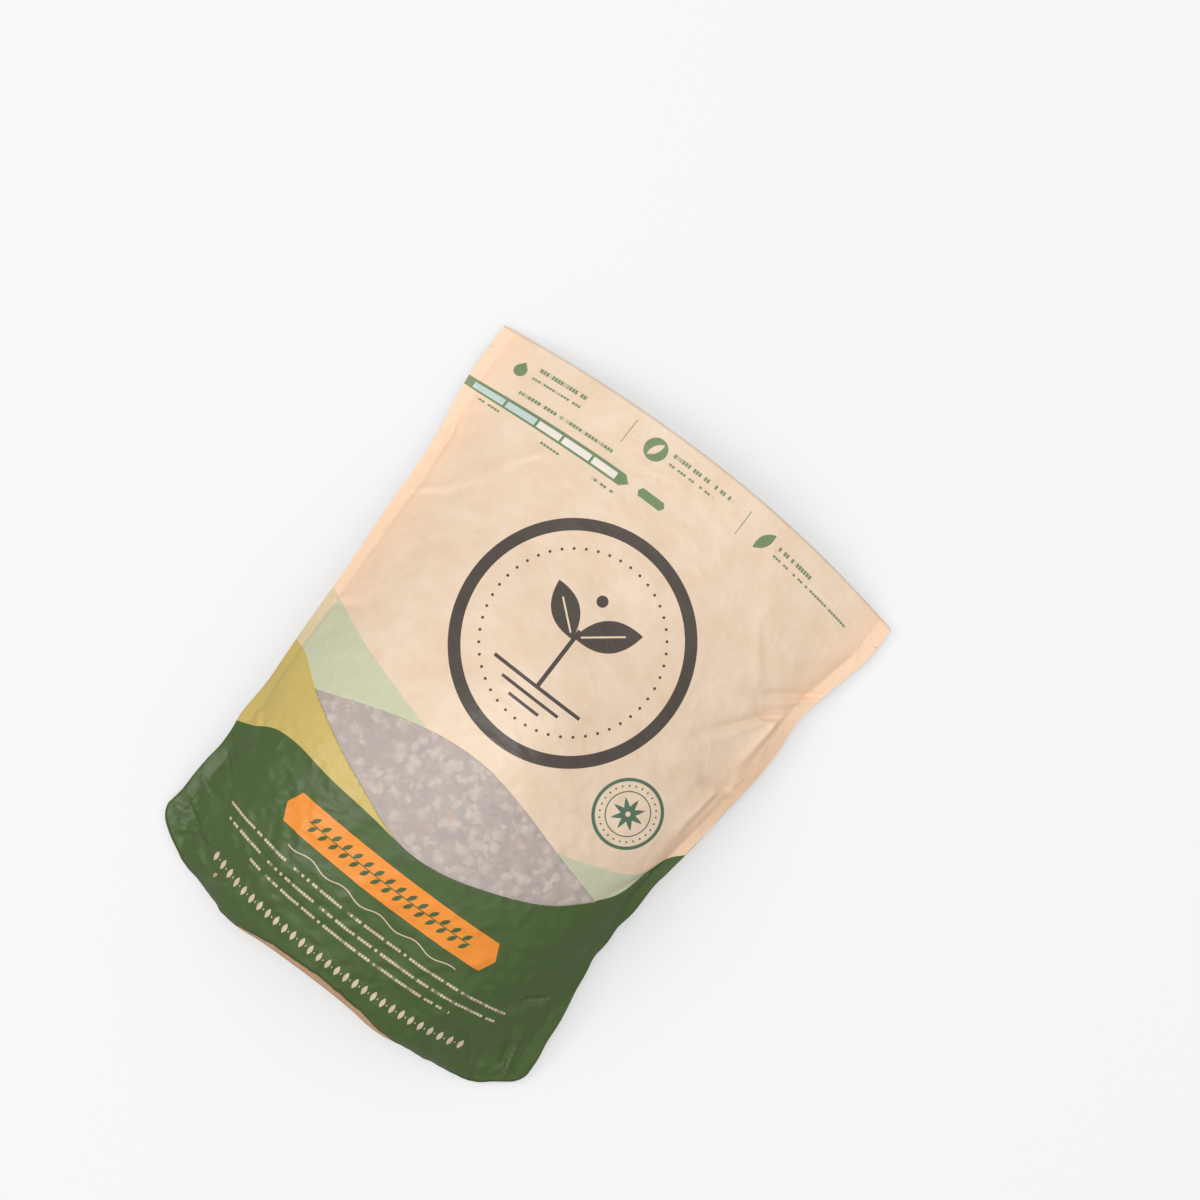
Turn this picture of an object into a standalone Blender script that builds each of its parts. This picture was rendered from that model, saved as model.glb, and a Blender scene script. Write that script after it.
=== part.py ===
"""A stand-up pouch of gritty potting mix, lying on its back with its mouth open.

X runs across the bag, +Y to its mouth and Z up. The origin is under the middle of the bag,
on the surface it lies on. Two film panels are sealed to each other along their sides. A web
of film, folded in between them, closes the lower end. A clear window shows the mix.
"""
import math

import bmesh
import bpy
from mathutils import Vector

# Plan of the bag as it lies, in metres
BAG_LENGTH = 0.331
CORNER_SET_BACK = 0.022
CORNER_SET_BACK_POWER = 4
FRONT_SET_BACK = 0.012
MOUTH_BOW = 0.010
MOUTH_BOW_SHARE_LEFT = 0.85
MOUTH_BOW_SHARE_RIGHT = 1.15
BACK_MOUTH_SET_BACK = 0.003
POCKET_WIDTH_BOTTOM = 0.209
POCKET_WIDTH_WAIST = 0.204
POCKET_WIDTH_MOUTH = 0.240
WAIST_PLACE = 0.090
CORNER_RADIUS = 0.005

# How far each side's outer edge stands out from that even plan, at shares of the seam's length
EDGE_WAVE_LEFT = (
    (0, 0.002), (0.15, 0), (0.23, 0.0024), (0.38, 0.0039),
    (0.65, 0), (0.76, -0.0025), (0.9, 0), (1, 0),
)
EDGE_WAVE_RIGHT = (
    (0, 0.0026), (0.1, 0), (0.25, -0.0042), (0.5, -0.0016),
    (0.65, -0.0032), (0.79, -0.009), (0.9, -0.005), (1, 0),
)

# Film and seals
FILM = 0.00025
SIDE_SEAL = 0.0075
SIDE_SEAL_DROOP = 0.005
BOTTOM_SEAL = 0.008
SEAL_GAP = 0.0004
EAR_HEIGHT = 0.042
EAR_REACH_SHARE = 0.68
NOTCH_PLACE = 0.0125
NOTCH_RADIUS = 0.0014

# Heights over the surface the bag lies on
FRONT_EDGE_RISE = 0.048
CROWN_RISE = 0.078
CROWN_PLACE = 0.100
MOUTH_RISE = 0.022
CORNER_RISE = 0.004
SEAM_RISE = 0.028
SEAM_PLACE = 0.110
MOUTH_CORNER_RISE = 0.003

# How far the belly and each side seal stand over those even rises, at shares of the seam's length
CROWN_WAVE = (
    (0, 0), (0.05, 0.0053), (0.11, 0.0078), (0.2, 0.0048),
    (0.3, 0), (0.45, 0), (0.62, 0.0027), (1, 0),
)
SEAM_WAVE_LEFT = ((0, 0), (0.1, 0.0042), (0.25, 0.0007), (0.58, -0.0016), (0.85, 0), (1, 0))
SEAM_WAVE_RIGHT = ((0, 0), (0.11, 0.0067), (0.28, 0.0008), (0.5, -0.0008), (0.75, 0.0007), (1, 0))
SIDES_MEET_SHARE = 0.3

# Cross-section: exponents of the front panel's arch, and the flat and turn-up of the back one
ARCH_POWER_LOWER_EDGE = 2.2
ARCH_POWER_BELLY = 1.6
ARCH_POWER_MOUTH = 1.9
BACK_FLAT_SHARE_BELLY = 0.72
BACK_FLAT_SHARE_ENDS = 0.58
BACK_TURN_UP_POWER = 2.2

# Bottom web
GUSSET_END_SHARE = 0.56
GUSSET_DEPTH = 0.030

# Window in the front panel, seen from above, and the clear film behind it
WINDOW_LEFT_TIP = (-0.086, -0.0425)
WINDOW_RIGHT_TIP = (0.0845, -0.041)
WINDOW_LOWER_EDGE = ((-0.0575, -0.0582), (-0.029, -0.0715), (0.000, -0.0775), (0.0415, -0.0685))
WINDOW_UPPER_EDGE = ((0.0548, -0.0335), (0.0246, -0.0252), (-0.0120, -0.0210), (-0.0518, -0.0298))
WINDOW_MARGIN = 0.005
WINDOW_REACH_SHARE = 0.8
WINDOW_ROW_SHARES = (0.2, 0.6)
CLEAR_FILM = 0.0002

# Press-to-close zip
ZIP_PLACE = 0.030
ZIP_WIDTH = 0.010
ZIP_THICKNESS = 0.0005
ZIP_BEAD = 0.0012
ZIP_END_SHARE = 0.70

# Mix left in the bag
MIX_CLEARANCE = 0.0006
MIX_HEADROOM = 0.0008
MIX_SIDE_SHARE = 0.88
MIX_TOE_SHARE = 0.66
MIX_TOE_PLACE = 0.040
MIX_SLOPE_DEGREES = 31.0
MIX_TOE_HEIGHT = 0.0025
MIX_ROOM = 0.012
MIX_LUMP_DEPTH = 0.0028
MIX_LUMP_ROOM_SHARE = 0.12
MIX_WEB_TURNS = (0.22, 0.30, 0.42, 0.5, 0.58, 0.70, 0.78)
MIX_ROWS = 26

# Lattice of the sheets
COLUMNS = 26
ROWS = 24
BAND_SHARES = (0.36, 0.70, 0.92, 1.0)

SEAM_LENGTH = BAG_LENGTH - CORNER_SET_BACK - MOUTH_BOW
SEAL_SHARE = BOTTOM_SEAL / SEAM_LENGTH


def ease_through(stops, place):
    """A curve through (place, value) stops that is level at each and eases between them."""
    if place <= stops[0][0]:
        return stops[0][1]
    for (start, low), (end, high) in zip(stops, stops[1:]):
        if place <= end:
            share = (place - start) / (end - start)
            return low + (high - low) * share * share * (3 - 2 * share)
    return stops[-1][1]


def smooth_through(stops, place):
    """A curve through (place, value) stops that keeps its slope at each."""
    rises = [(end[1] - start[1]) / (end[0] - start[0]) for start, end in zip(stops, stops[1:])]
    slopes = [rises[0]] + [(before + after) / 2 for before, after in zip(rises, rises[1:])] + [rises[-1]]
    place = min(max(place, stops[0][0]), stops[-1][0])
    k = 0
    while k < len(stops) - 2 and place > stops[k + 1][0]:
        k += 1
    span = stops[k + 1][0] - stops[k][0]
    t = (place - stops[k][0]) / span
    return (
        (1 + 2 * t) * (1 - t) ** 2 * stops[k][1]
        + t * (1 - t) ** 2 * span * slopes[k]
        + t * t * (3 - 2 * t) * stops[k + 1][1]
        + t * t * (t - 1) * span * slopes[k + 1]
    )


def by_side(across, left, right):
    """The left or the right side's value, blended over the middle of the bag."""
    t = min(1.0, max(0.0, 0.5 + across / (2 * SIDES_MEET_SHARE)))
    t = t * t * (3 - 2 * t)
    return left * (1 - t) + right * t


def half_pocket(across, share):
    """Half the width between the side seals, at a share of the seam's length from the bottom."""
    stops = ((0, POCKET_WIDTH_BOTTOM), (WAIST_PLACE, POCKET_WIDTH_WAIST), (SEAM_LENGTH, POCKET_WIDTH_MOUTH))
    wave = by_side(across, smooth_through(EDGE_WAVE_LEFT, share), smooth_through(EDGE_WAVE_RIGHT, share))
    return ease_through(stops, share * SEAM_LENGTH) / 2 + wave


def seam_height(across, share):
    """Height of the plane in which the side seals meet."""
    stops = ((0, CORNER_RISE), (SEAM_PLACE, SEAM_RISE), (SEAM_LENGTH, MOUTH_CORNER_RISE))
    wave = by_side(across, smooth_through(SEAM_WAVE_LEFT, share), smooth_through(SEAM_WAVE_RIGHT, share))
    return ease_through(stops, share * SEAM_LENGTH) + wave


def crown_height(share):
    """Height of the front panel along its middle."""
    stops = ((0, FRONT_EDGE_RISE), (CROWN_PLACE, CROWN_RISE), (SEAM_LENGTH, MOUTH_RISE))
    return ease_through(stops, share * SEAM_LENGTH) + smooth_through(CROWN_WAVE, share)


def arch_power(share):
    """How sharply the front panel's arch is drawn in at its sides: less at the full belly."""
    stops = ((0, ARCH_POWER_LOWER_EDGE), (CROWN_PLACE, ARCH_POWER_BELLY), (SEAM_LENGTH, ARCH_POWER_MOUTH))
    return ease_through(stops, share * SEAM_LENGTH)


def back_flat(share):
    """Share of the half width over which the back panel lies flat before it turns up."""
    ends = BACK_FLAT_SHARE_ENDS
    stops = ((0, ends), (SEAM_PLACE, BACK_FLAT_SHARE_BELLY), (SEAM_LENGTH, ends))
    return ease_through(stops, share * SEAM_LENGTH)


def open_reach(share):
    """Share of the half width that is open: the lower corners are sealed into flat ears."""
    up_the_ear = min(1.0, share * SEAM_LENGTH / EAR_HEIGHT)
    return EAR_REACH_SHARE + (1 - EAR_REACH_SHARE) * math.sqrt(up_the_ear)


def quarter_turn(across, share):
    """Angle of a column: 0 in the middle, a right angle where the pocket closes."""
    return math.radians(90) * min(1.0, abs(across) / open_reach(share))


def seal_run(across, share):
    """Width of the side seal as seen from above, and its droop."""
    droop = min(SIDE_SEAL_DROOP, 0.2 * seam_height(across, share))
    return math.sqrt(SIDE_SEAL ** 2 - droop ** 2), droop


def plan_x(across, share):
    """X of a column; past 1 the column lies in the side seal."""
    run, _ = seal_run(across, share)
    inner = half_pocket(across, share) * math.sin(math.radians(90) * min(1.0, abs(across)))
    return math.copysign(inner + run * max(0.0, abs(across) - 1), across)


def corner_round(across):
    """How far the rounded lower corner draws a column's end up."""
    run, _ = seal_run(across, 0)
    to_side = run * (2 - max(1.0, abs(across)))
    reach = max(0.0, CORNER_RADIUS - to_side)
    return CORNER_RADIUS - math.sqrt(CORNER_RADIUS ** 2 - reach ** 2)


def lower_edge(across, front):
    """Y of a panel's lower edge."""
    outward = abs(plan_x(across, 0)) / plan_x(2, 0)
    y = -BAG_LENGTH / 2 + CORNER_SET_BACK * outward ** CORNER_SET_BACK_POWER + corner_round(across)
    if front:
        y += FRONT_SET_BACK * max(0.0, 1 - (outward / EAR_REACH_SHARE) ** 2) ** 1.3
    return y


def mouth_edge(across, front):
    """Y of a panel's edge at the mouth."""
    outward = abs(plan_x(across, 1)) / plan_x(2, 1)
    bow = MOUTH_BOW * by_side(across, MOUTH_BOW_SHARE_LEFT, MOUTH_BOW_SHARE_RIGHT)
    y = BAG_LENGTH / 2 - bow * outward ** 2
    if not front:
        y -= BACK_MOUTH_SET_BACK * (1 - outward ** 2)
    return y


def front_point(across, share):
    """A point of the front panel's inner face."""
    arch = math.cos(quarter_turn(across, share)) ** arch_power(share)
    seam = seam_height(across, share)
    _, droop = seal_run(across, share)
    z = seam + (crown_height(share) - seam) * arch + SEAL_GAP / 2
    z -= droop * max(0.0, abs(across) - 1)
    low = lower_edge(across, True)
    return Vector((plan_x(across, share), low + (mouth_edge(across, True) - low) * share, z))


def back_point(across, share):
    """A point of the back panel's inner face."""
    flat = back_flat(share)
    past_flat = max(0.0, math.sin(quarter_turn(across, share)) - flat) / (1 - flat)
    turn_up = past_flat ** BACK_TURN_UP_POWER
    seam = seam_height(across, share) - SEAL_GAP / 2
    _, droop = seal_run(across, share)
    z = FILM + (seam - FILM) * turn_up - droop * max(0.0, abs(across) - 1)
    low = lower_edge(across, False)
    return Vector((plan_x(across, share), low + (mouth_edge(across, False) - low) * share, z))


def inside_of(point, across, share, distance):
    """The point moved off its panel, into the bag."""
    step = 0.002
    along = point(across, min(1.0, share + step)) - point(across, max(0.0, share - step))
    sideways = point(across + step, share) - point(across - step, share)
    normal = sideways.cross(along).normalized()
    if point is front_point:
        normal.negate()
    return point(across, share) + normal * distance


def column_places():
    """Columns of a whole panel, from the left seal's edge to the right one's."""
    pocket = [2 * i / COLUMNS - 1 for i in range(COLUMNS + 1)]
    band = [1 + share for share in BAND_SHARES]
    return [-place for place in reversed(band)] + pocket + band


def inner_columns(end):
    """The panels' columns up to a share of the pocket's half width, for what lies against them."""
    return [place for place in column_places() if abs(place) <= end]


def row_places():
    """Rows of a whole panel, from its lower edge to the mouth; the second ends the bottom seal."""
    return [0.0] + [SEAL_SHARE + (1 - SEAL_SHARE) * j / (ROWS - 1) for j in range(ROWS)]


def named_material(name, color, roughness, alpha=1.0):
    """A plain material with its colour, roughness and clearness."""
    material = bpy.data.materials.new(name)
    material.use_nodes = True
    shader = material.node_tree.nodes["Principled BSDF"]
    shader.inputs["Base Color"].default_value = (*color, 1)
    shader.inputs["Roughness"].default_value = roughness
    shader.inputs["Alpha"].default_value = alpha
    return material


def sheet(name, columns, rows, place, thickness, side, material):
    """A grid shaped by a function of its column and row, thickened to one side."""
    bpy.ops.mesh.primitive_grid_add(x_subdivisions=len(columns) - 1, y_subdivisions=len(rows) - 1, size=2)
    obj = bpy.context.object
    obj.name = name
    for vertex in obj.data.vertices:
        i = round((vertex.co.x + 1) / 2 * (len(columns) - 1))
        j = round((vertex.co.y + 1) / 2 * (len(rows) - 1))
        vertex.co = place(columns[i], rows[j])
    wall = obj.modifiers.new("Film", "SOLIDIFY")
    wall.thickness = thickness
    wall.offset = side
    obj.data.materials.append(material)
    obj.data.shade_smooth()
    put_in(obj, parts)
    return obj


def put_in(obj, collection):
    """Moves an object to one collection."""
    for old in list(obj.users_collection):
        old.objects.unlink(obj)
    collection.objects.link(obj)


def hide_cutter(obj):
    """Marks a cutter, which the part leaves out."""
    obj.hide_render = True
    obj.display_type = "WIRE"
    put_in(obj, cutters)


def trim(obj, cutter, operation):
    """Cuts an object with a cutter."""
    boolean = obj.modifiers.new("Trim", "BOOLEAN")
    boolean.operation = operation
    boolean.object = cutter


def window_outline(margin):
    """Outline of the window seen from above, moved outwards by a margin."""
    stops = [WINDOW_LEFT_TIP, *WINDOW_LOWER_EDGE, WINDOW_RIGHT_TIP, *WINDOW_UPPER_EDGE]
    corners = [Vector(stop) for stop in stops]
    moved = []
    for i, corner in enumerate(corners):
        before = (corner - corners[i - 1]).normalized()
        after = (corners[(i + 1) % len(corners)] - corner).normalized()
        out = Vector((before.y + after.y, -before.x - after.x)).normalized()
        moved.append(corner + out * margin)
    return moved


def window_cutter(name, margin):
    """An upright prism over the window, its long edges drawn as smooth curves."""
    outline = window_outline(margin)
    curve = bpy.data.curves.new(name, "CURVE")
    curve.dimensions = "2D"
    curve.fill_mode = "BOTH"
    curve.extrude = CROWN_RISE / 2
    curve.resolution_u = 3
    spline = curve.splines.new("BEZIER")
    spline.bezier_points.add(len(outline) - 1)
    spline.use_cyclic_u = True
    tips = (0, 1 + len(WINDOW_LOWER_EDGE))
    for i, (point, corner) in enumerate(zip(spline.bezier_points, outline)):
        point.co = (corner.x, corner.y, 0)
        kind = "VECTOR" if i in tips else "AUTO"
        point.handle_left_type = kind
        point.handle_right_type = kind
    drawn = bpy.data.objects.new(name, curve)
    bpy.context.scene.collection.objects.link(drawn)
    drawn.location.z = CROWN_RISE / 2 + FRONT_EDGE_RISE / 2
    bpy.context.view_layer.update()
    mesh = bpy.data.meshes.new_from_object(drawn.evaluated_get(bpy.context.evaluated_depsgraph_get()))
    weld = bmesh.new()
    weld.from_mesh(mesh)
    bmesh.ops.remove_doubles(weld, verts=weld.verts, dist=0.00001)
    weld.to_mesh(mesh)
    weld.free()
    cutter = bpy.data.objects.new(name, mesh)
    cutter.matrix_world = drawn.matrix_world
    bpy.data.objects.remove(drawn)
    bpy.context.scene.collection.objects.link(cutter)
    hide_cutter(cutter)
    return cutter


def notch_cutter(side):
    """A small upright pin that cuts the tear notch into both panels at one side seal."""
    share = 1 - NOTCH_PLACE / SEAM_LENGTH
    edge = front_point(side * 2, share)
    bpy.ops.mesh.primitive_cylinder_add(vertices=10, radius=NOTCH_RADIUS, depth=0.02, location=edge)
    pin = bpy.context.object
    pin.name = "left_notch_cutter" if side < 0 else "right_notch_cutter"
    hide_cutter(pin)
    return pin


def front_and_back():
    """The two panels, with the window opening and the tear notches."""
    columns = column_places()
    rows = row_places()
    kraft = named_material("kraft_film", (0.80, 0.62, 0.46), 0.55)
    front = sheet("front_panel", columns, rows, front_point, FILM, 1, kraft)
    back = sheet("back_panel", columns, rows, back_point, FILM, -1, kraft)
    trim(front, window_cutter("window_cutter", 0), "DIFFERENCE")
    for side in (-1, 1):
        pin = notch_cutter(side)
        trim(front, pin, "DIFFERENCE")
        trim(back, pin, "DIFFERENCE")


def clear_window():
    """The clear film bonded behind the window opening, trimmed to a margin round it."""
    columns = inner_columns(WINDOW_REACH_SHARE)
    first, last = WINDOW_ROW_SHARES
    rows = [row for row in row_places() if first < row < last]
    clear = named_material("clear_film", (0.80, 0.76, 0.74), 0.35, 0.35)

    def place(across, share):
        return inside_of(front_point, across, share, SEAL_GAP)

    window = sheet("window_film", columns, rows, place, CLEAR_FILM, -1, clear)
    trim(window, window_cutter("window_margin_cutter", WINDOW_MARGIN), "INTERSECT")


def gusset_point(across, step):
    """A point of the bottom web: steps 0 to 1 lie on the front seal, 2 to 3 on the back seal."""
    if step <= 1:
        return inside_of(front_point, across, step * SEAL_SHARE, SEAL_GAP)
    if step >= 2:
        return inside_of(back_point, across, (3 - step) * SEAL_SHARE, SEAL_GAP)
    start = inside_of(front_point, across, SEAL_SHARE, SEAL_GAP)
    end = inside_of(back_point, across, SEAL_SHARE, SEAL_GAP)
    fold = Vector((0, GUSSET_DEPTH * 4 / 3 * gusset_opening(across), 0))
    t = step - 1
    return (
        start * (1 - t) ** 3
        + (start + fold) * 3 * t * (1 - t) ** 2
        + (end + fold) * 3 * t * t * (1 - t)
        + end * t ** 3
    )


def gusset_opening(across):
    """Share of its full depth to which the web is folded in at a column."""
    return math.cos(math.radians(90) * min(1.0, abs(across) / EAR_REACH_SHARE))


def gusset():
    """The bottom web, sealed to both panels and folded in between them."""
    columns = inner_columns(GUSSET_END_SHARE)
    fold_steps = 8
    steps = [0, 1] + [1 + i / fold_steps for i in range(1, fold_steps)] + [2, 3]
    tan = named_material("tan_film", (0.74, 0.56, 0.40), 0.6)
    sheet("bottom_gusset", columns, steps, gusset_point, FILM, -1, tan)


def zip_strip(name, panel, side):
    """One half of the press-to-close zip: a strip on a panel's inner face with a bead along it."""
    columns = inner_columns(ZIP_END_SHARE)
    lines = ((-0.5, 0), (-0.12, 0), (0, 1), (0.12, 0), (0.5, 0))
    places = [line[0] for line in lines]
    beads = dict(lines)
    white = named_material(name + "_plastic", (0.85, 0.84, 0.80), 0.4)

    def place(across, line):
        share = 1 - (ZIP_PLACE - line * ZIP_WIDTH) / SEAM_LENGTH
        return inside_of(panel, across, share, SEAL_GAP + ZIP_BEAD * beads[line])

    sheet(name, columns, places, place, ZIP_THICKNESS, side, white)


def mix_start(across):
    """Share of the seam's length past both the fold of the web and the sealed ears."""
    fold = GUSSET_DEPTH * gusset_opening(across)
    past_web = SEAL_SHARE + (fold + FRONT_SET_BACK) / SEAM_LENGTH
    ear = max(0.0, (abs(across) + (1 - MIX_SIDE_SHARE) - EAR_REACH_SHARE) / (1 - EAR_REACH_SHARE))
    return max(past_web, EAR_HEIGHT / SEAM_LENGTH * ear ** 2)


def beside_web(across, turn):
    """A point of the mix's lower end against the web, from 0 at its top to 1 at its bottom."""
    angle = math.radians(180) * turn
    off = Vector((0, math.sin(angle), math.cos(angle))) * (MIX_CLEARANCE + MIX_HEADROOM)
    return gusset_point(across, 1 + turn) + off


def web_filling(across):
    """How closely the mix fills the room over and under the web: 1 where that room is tall."""
    room = front_point(across, SEAL_SHARE).z - back_point(across, SEAL_SHARE).z
    return min(1.0, max(0.0, room / MIX_ROOM - 1))


def share_at(point, across, y):
    """Share of the seam's length at which a panel's column reaches a given Y."""
    low = point(across, 0).y
    return (y - low) / (point(across, 1).y - low)


def mix_point(column, share, top, dent=0.0):
    """A point of the mix: its top follows the front panel and falls away towards the mouth."""
    stops = ((CROWN_PLACE, MIX_SIDE_SHARE), (SEAM_LENGTH, MIX_TOE_SHARE))
    across = column / MIX_SIDE_SHARE * ease_through(stops, share * SEAM_LENGTH)
    low = inside_of(back_point, across, share, MIX_CLEARANCE)
    if not top:
        return low
    high = inside_of(front_point, across, share, SEAL_GAP + CLEAR_FILM + MIX_HEADROOM)
    toe = BAG_LENGTH / 2 - MIX_TOE_PLACE
    slope = MIX_TOE_HEIGHT + max(0.0, toe - high.y) * math.tan(math.radians(MIX_SLOPE_DEGREES))
    high.z = min(high.z, low.z + slope)
    high.z -= dent * min(MIX_LUMP_DEPTH, MIX_LUMP_ROOM_SHARE * (high.z - low.z))
    return high


def mix_side(across, top, count, odd=0):
    """The mix's top or bottom line at a column, from its lower end to its toe, its top lumpy."""
    turn = MIX_WEB_TURNS[0] if top else MIX_WEB_TURNS[-1]
    panel = front_point if top else back_point
    start = mix_start(across)
    near_web = share_at(panel, across, beside_web(across, turn).y)
    start += (near_web - start) * web_filling(across)
    end = 1 - MIX_TOE_PLACE / SEAM_LENGTH
    line = []
    for j in range(count):
        dent = (j + odd) % 2 if 0 < j < count - 1 else 0
        line.append(mix_point(across, start + (end - start) * j / (count - 1), top, dent))
    return line


def growing_mix():
    """The mix left in the bag, one closed body lofted from the back panel to the front one."""
    columns = [MIX_SIDE_SHARE * (2 * i / COLUMNS - 1) for i in range(COLUMNS + 1)]
    mesh = bmesh.new()
    rings = []
    for i, across in enumerate(columns):
        top = mix_side(across, True, MIX_ROWS, i % 2)
        bottom = mix_side(across, False, MIX_ROWS)
        fill = web_filling(across)
        end_face = []
        for turn in MIX_WEB_TURNS[1:-1]:
            straight = top[0].lerp(bottom[0], turn)
            end_face.append(straight.lerp(beside_web(across, turn), fill))
        path = top + bottom[::-1] + end_face[::-1]
        rings.append([mesh.verts.new(point) for point in path])
    for ring, following in zip(rings, rings[1:]):
        for i in range(len(ring)):
            k = (i + 1) % len(ring)
            mesh.faces.new((ring[i], ring[k], following[k], following[i]))
    for ring in (rings[0], rings[-1]):
        mesh.faces.new(ring)
    bmesh.ops.recalc_face_normals(mesh, faces=mesh.faces)
    data = bpy.data.meshes.new("growing_mix")
    mesh.to_mesh(data)
    mesh.free()
    mix = bpy.data.objects.new("growing_mix", data)
    mix.data.materials.append(named_material("gritty_mix", (0.34, 0.26, 0.20), 0.9))
    mix.data.shade_smooth()
    parts.objects.link(mix)


for leftover in list(bpy.data.objects):
    bpy.data.objects.remove(leftover)
parts = bpy.data.collections.new("potting_mix_pouch")
cutters = bpy.data.collections.new("cutters")
for collection in (parts, cutters):
    bpy.context.scene.collection.children.link(collection)

front_and_back()
clear_window()
gusset()
zip_strip("zip_strip_front", front_point, -1)
zip_strip("zip_strip_back", back_point, 1)
growing_mix()
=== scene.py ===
"""Looks of an open stand-up pouch of gritty potting mix that lies on its back.

The film panels, the bottom web, the zip and the clear window are fine meshes over the plain CAD
sheets, with the sag and the creases of the real bag. The mix is thousands of separate grains.
"""
import math
import random

import bpy
import numpy as np
from mathutils import Matrix, Vector, noise


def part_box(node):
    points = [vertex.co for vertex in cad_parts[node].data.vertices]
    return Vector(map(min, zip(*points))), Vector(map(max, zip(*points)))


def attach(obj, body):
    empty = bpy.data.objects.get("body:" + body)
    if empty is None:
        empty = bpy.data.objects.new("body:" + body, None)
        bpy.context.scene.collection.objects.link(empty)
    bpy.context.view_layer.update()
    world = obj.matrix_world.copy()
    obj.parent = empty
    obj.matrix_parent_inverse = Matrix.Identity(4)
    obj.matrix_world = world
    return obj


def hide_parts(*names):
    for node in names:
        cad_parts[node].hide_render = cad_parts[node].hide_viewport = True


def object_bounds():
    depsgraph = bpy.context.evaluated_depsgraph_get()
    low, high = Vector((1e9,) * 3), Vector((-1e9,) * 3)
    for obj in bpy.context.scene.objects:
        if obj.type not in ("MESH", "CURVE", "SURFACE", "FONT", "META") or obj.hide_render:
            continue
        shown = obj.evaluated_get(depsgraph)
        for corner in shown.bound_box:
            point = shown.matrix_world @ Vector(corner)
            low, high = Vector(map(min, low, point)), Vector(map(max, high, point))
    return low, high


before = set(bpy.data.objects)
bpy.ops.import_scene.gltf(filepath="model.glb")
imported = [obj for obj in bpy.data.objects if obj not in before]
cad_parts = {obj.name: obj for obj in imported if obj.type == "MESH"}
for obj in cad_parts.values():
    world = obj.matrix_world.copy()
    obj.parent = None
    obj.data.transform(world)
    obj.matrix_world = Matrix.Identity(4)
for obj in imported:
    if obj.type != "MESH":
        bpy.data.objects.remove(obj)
cad_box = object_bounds()
bpy.ops.object.select_all(action="DESELECT")
random.seed(11)

MM = 0.001

# The frame's own sizes
BAG_LENGTH = cad_box[1][1] - cad_box[0][1]
MOUTH_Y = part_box("front_panel")[1][1]
SKIRT_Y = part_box("back_panel")[0][1]

# Plan of the bag, as part.py has it
CORNER_SET_BACK = 22 * MM
CORNER_POWER = 4
FRONT_SET_BACK = 12 * MM
FRONT_SET_BACK_POWER = 1.3
FOOT_HALF_WIDTH = 112 * MM
MOUTH_HALF_WIDTH = 126 * MM
MOUTH_BOW = 10 * MM
LEFT_MOUTH_BOW = 8.5 * MM
RIGHT_MOUTH_BOW = 11.5 * MM
BACK_MOUTH_SET_BACK = 3 * MM
CORNER_RADIUS = 5 * MM
SIDE_SEAL = 7.5 * MM
BOTTOM_SEAL = 8 * MM
EAR_HEIGHT = 42 * MM
EAR_REACH = 0.68
SEAM_LENGTH = BAG_LENGTH - CORNER_SET_BACK - MOUTH_BOW
SEAL_SHARE = BOTTOM_SEAL / SEAM_LENGTH

# Outer edges of the side seals, as (place from the lower corner, distance from the middle), in
# millimetres
LEFT_EDGE = ((0, 114.0), (10, 112.4), (20, 112.2), (31, 111.5), (41, 110.3), (51, 110.5),
             (61, 111.5), (72, 111.0), (82, 110.6), (101, 111.5), (121, 112.5), (140, 113.5),
             (160, 114.9), (179, 116.5), (199, 117.8), (209, 117.9), (219, 118.7), (238, 121.3),
             (258, 124.8), (278, 127.0), (299, 127.3))
RIGHT_EDGE = ((0, 114.6), (10, 113.8), (20, 111.9), (31, 110.9), (41, 109.3), (51, 107.2),
              (61, 105.8), (71, 103.9), (81, 104.5), (91, 103.9), (101, 105.3), (121, 105.5),
              (130, 107.0), (150, 109.6), (169, 111.6), (189, 114.1), (209, 114.7), (218, 114.4),
              (228, 113.4), (238, 114.3), (248, 116.2), (268, 120.7), (278, 122.7), (288, 123.4),
              (299, 122.8))

# How far the lower edge waves up from its even curve, as (place across the bag, rise), in
# millimetres
FOOT_WAVE = ((-116, -2.5), (-104, -2.4), (-96, -2.0), (-85, -1.2), (-75, 0.8), (-65, -1.2),
             (-55, -4.3), (-45, -3.9), (-35, -2.4), (-20, -1.5), (5, -1.1), (25, -1.7), (35, -2.8),
             (45, -2.8), (55, -1.2), (65, 0.5), (75, 0.8), (85, -1.2), (96, -2.2), (105, -0.6),
             (116, -0.6))

# Heights over the floor, as (place from the lower corner, height), in millimetres
LEFT_SEAM = ((0, 4.5), (40, 15), (110, 27.5), (190, 17), (250, 7), (299, 3))
RIGHT_SEAM = ((0, 5), (30, 15), (75, 24), (115, 28), (165, 22), (215, 14), (262, 6), (299, 3.2))
CROWN = ((0, 48), (45, 68), (100, 77.5), (165, 66), (225, 42), (270, 28), (299, 22.5))

# How the side seals' outer edges hang below their inner ones, as (share of the length, share of
# the seam's height)
LEFT_DROOP = ((0, 0.10), (0.30, 0.20), (0.55, 0.16), (1, 0.1))
RIGHT_DROOP = ((0, 0.10), (0.20, 0.26), (0.45, 0.12), (0.70, 0.30), (1, 0.1))
MOST_DROOP = 6.5 * MM

# Sections: how pointed the front's arch is, how much of the back lies flat and how it turns up
ARCH_POWER = ((0, 2.2), (0.33, 1.6), (1, 1.9))
BACK_FLAT_SHARE = ((0, 0.58), (0.37, 0.72), (1, 0.58))
BACK_TURN_UP_POWER = 2.2

FILM = 0.18 * MM
SEAL_LIFT = 0.03 * MM

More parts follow.
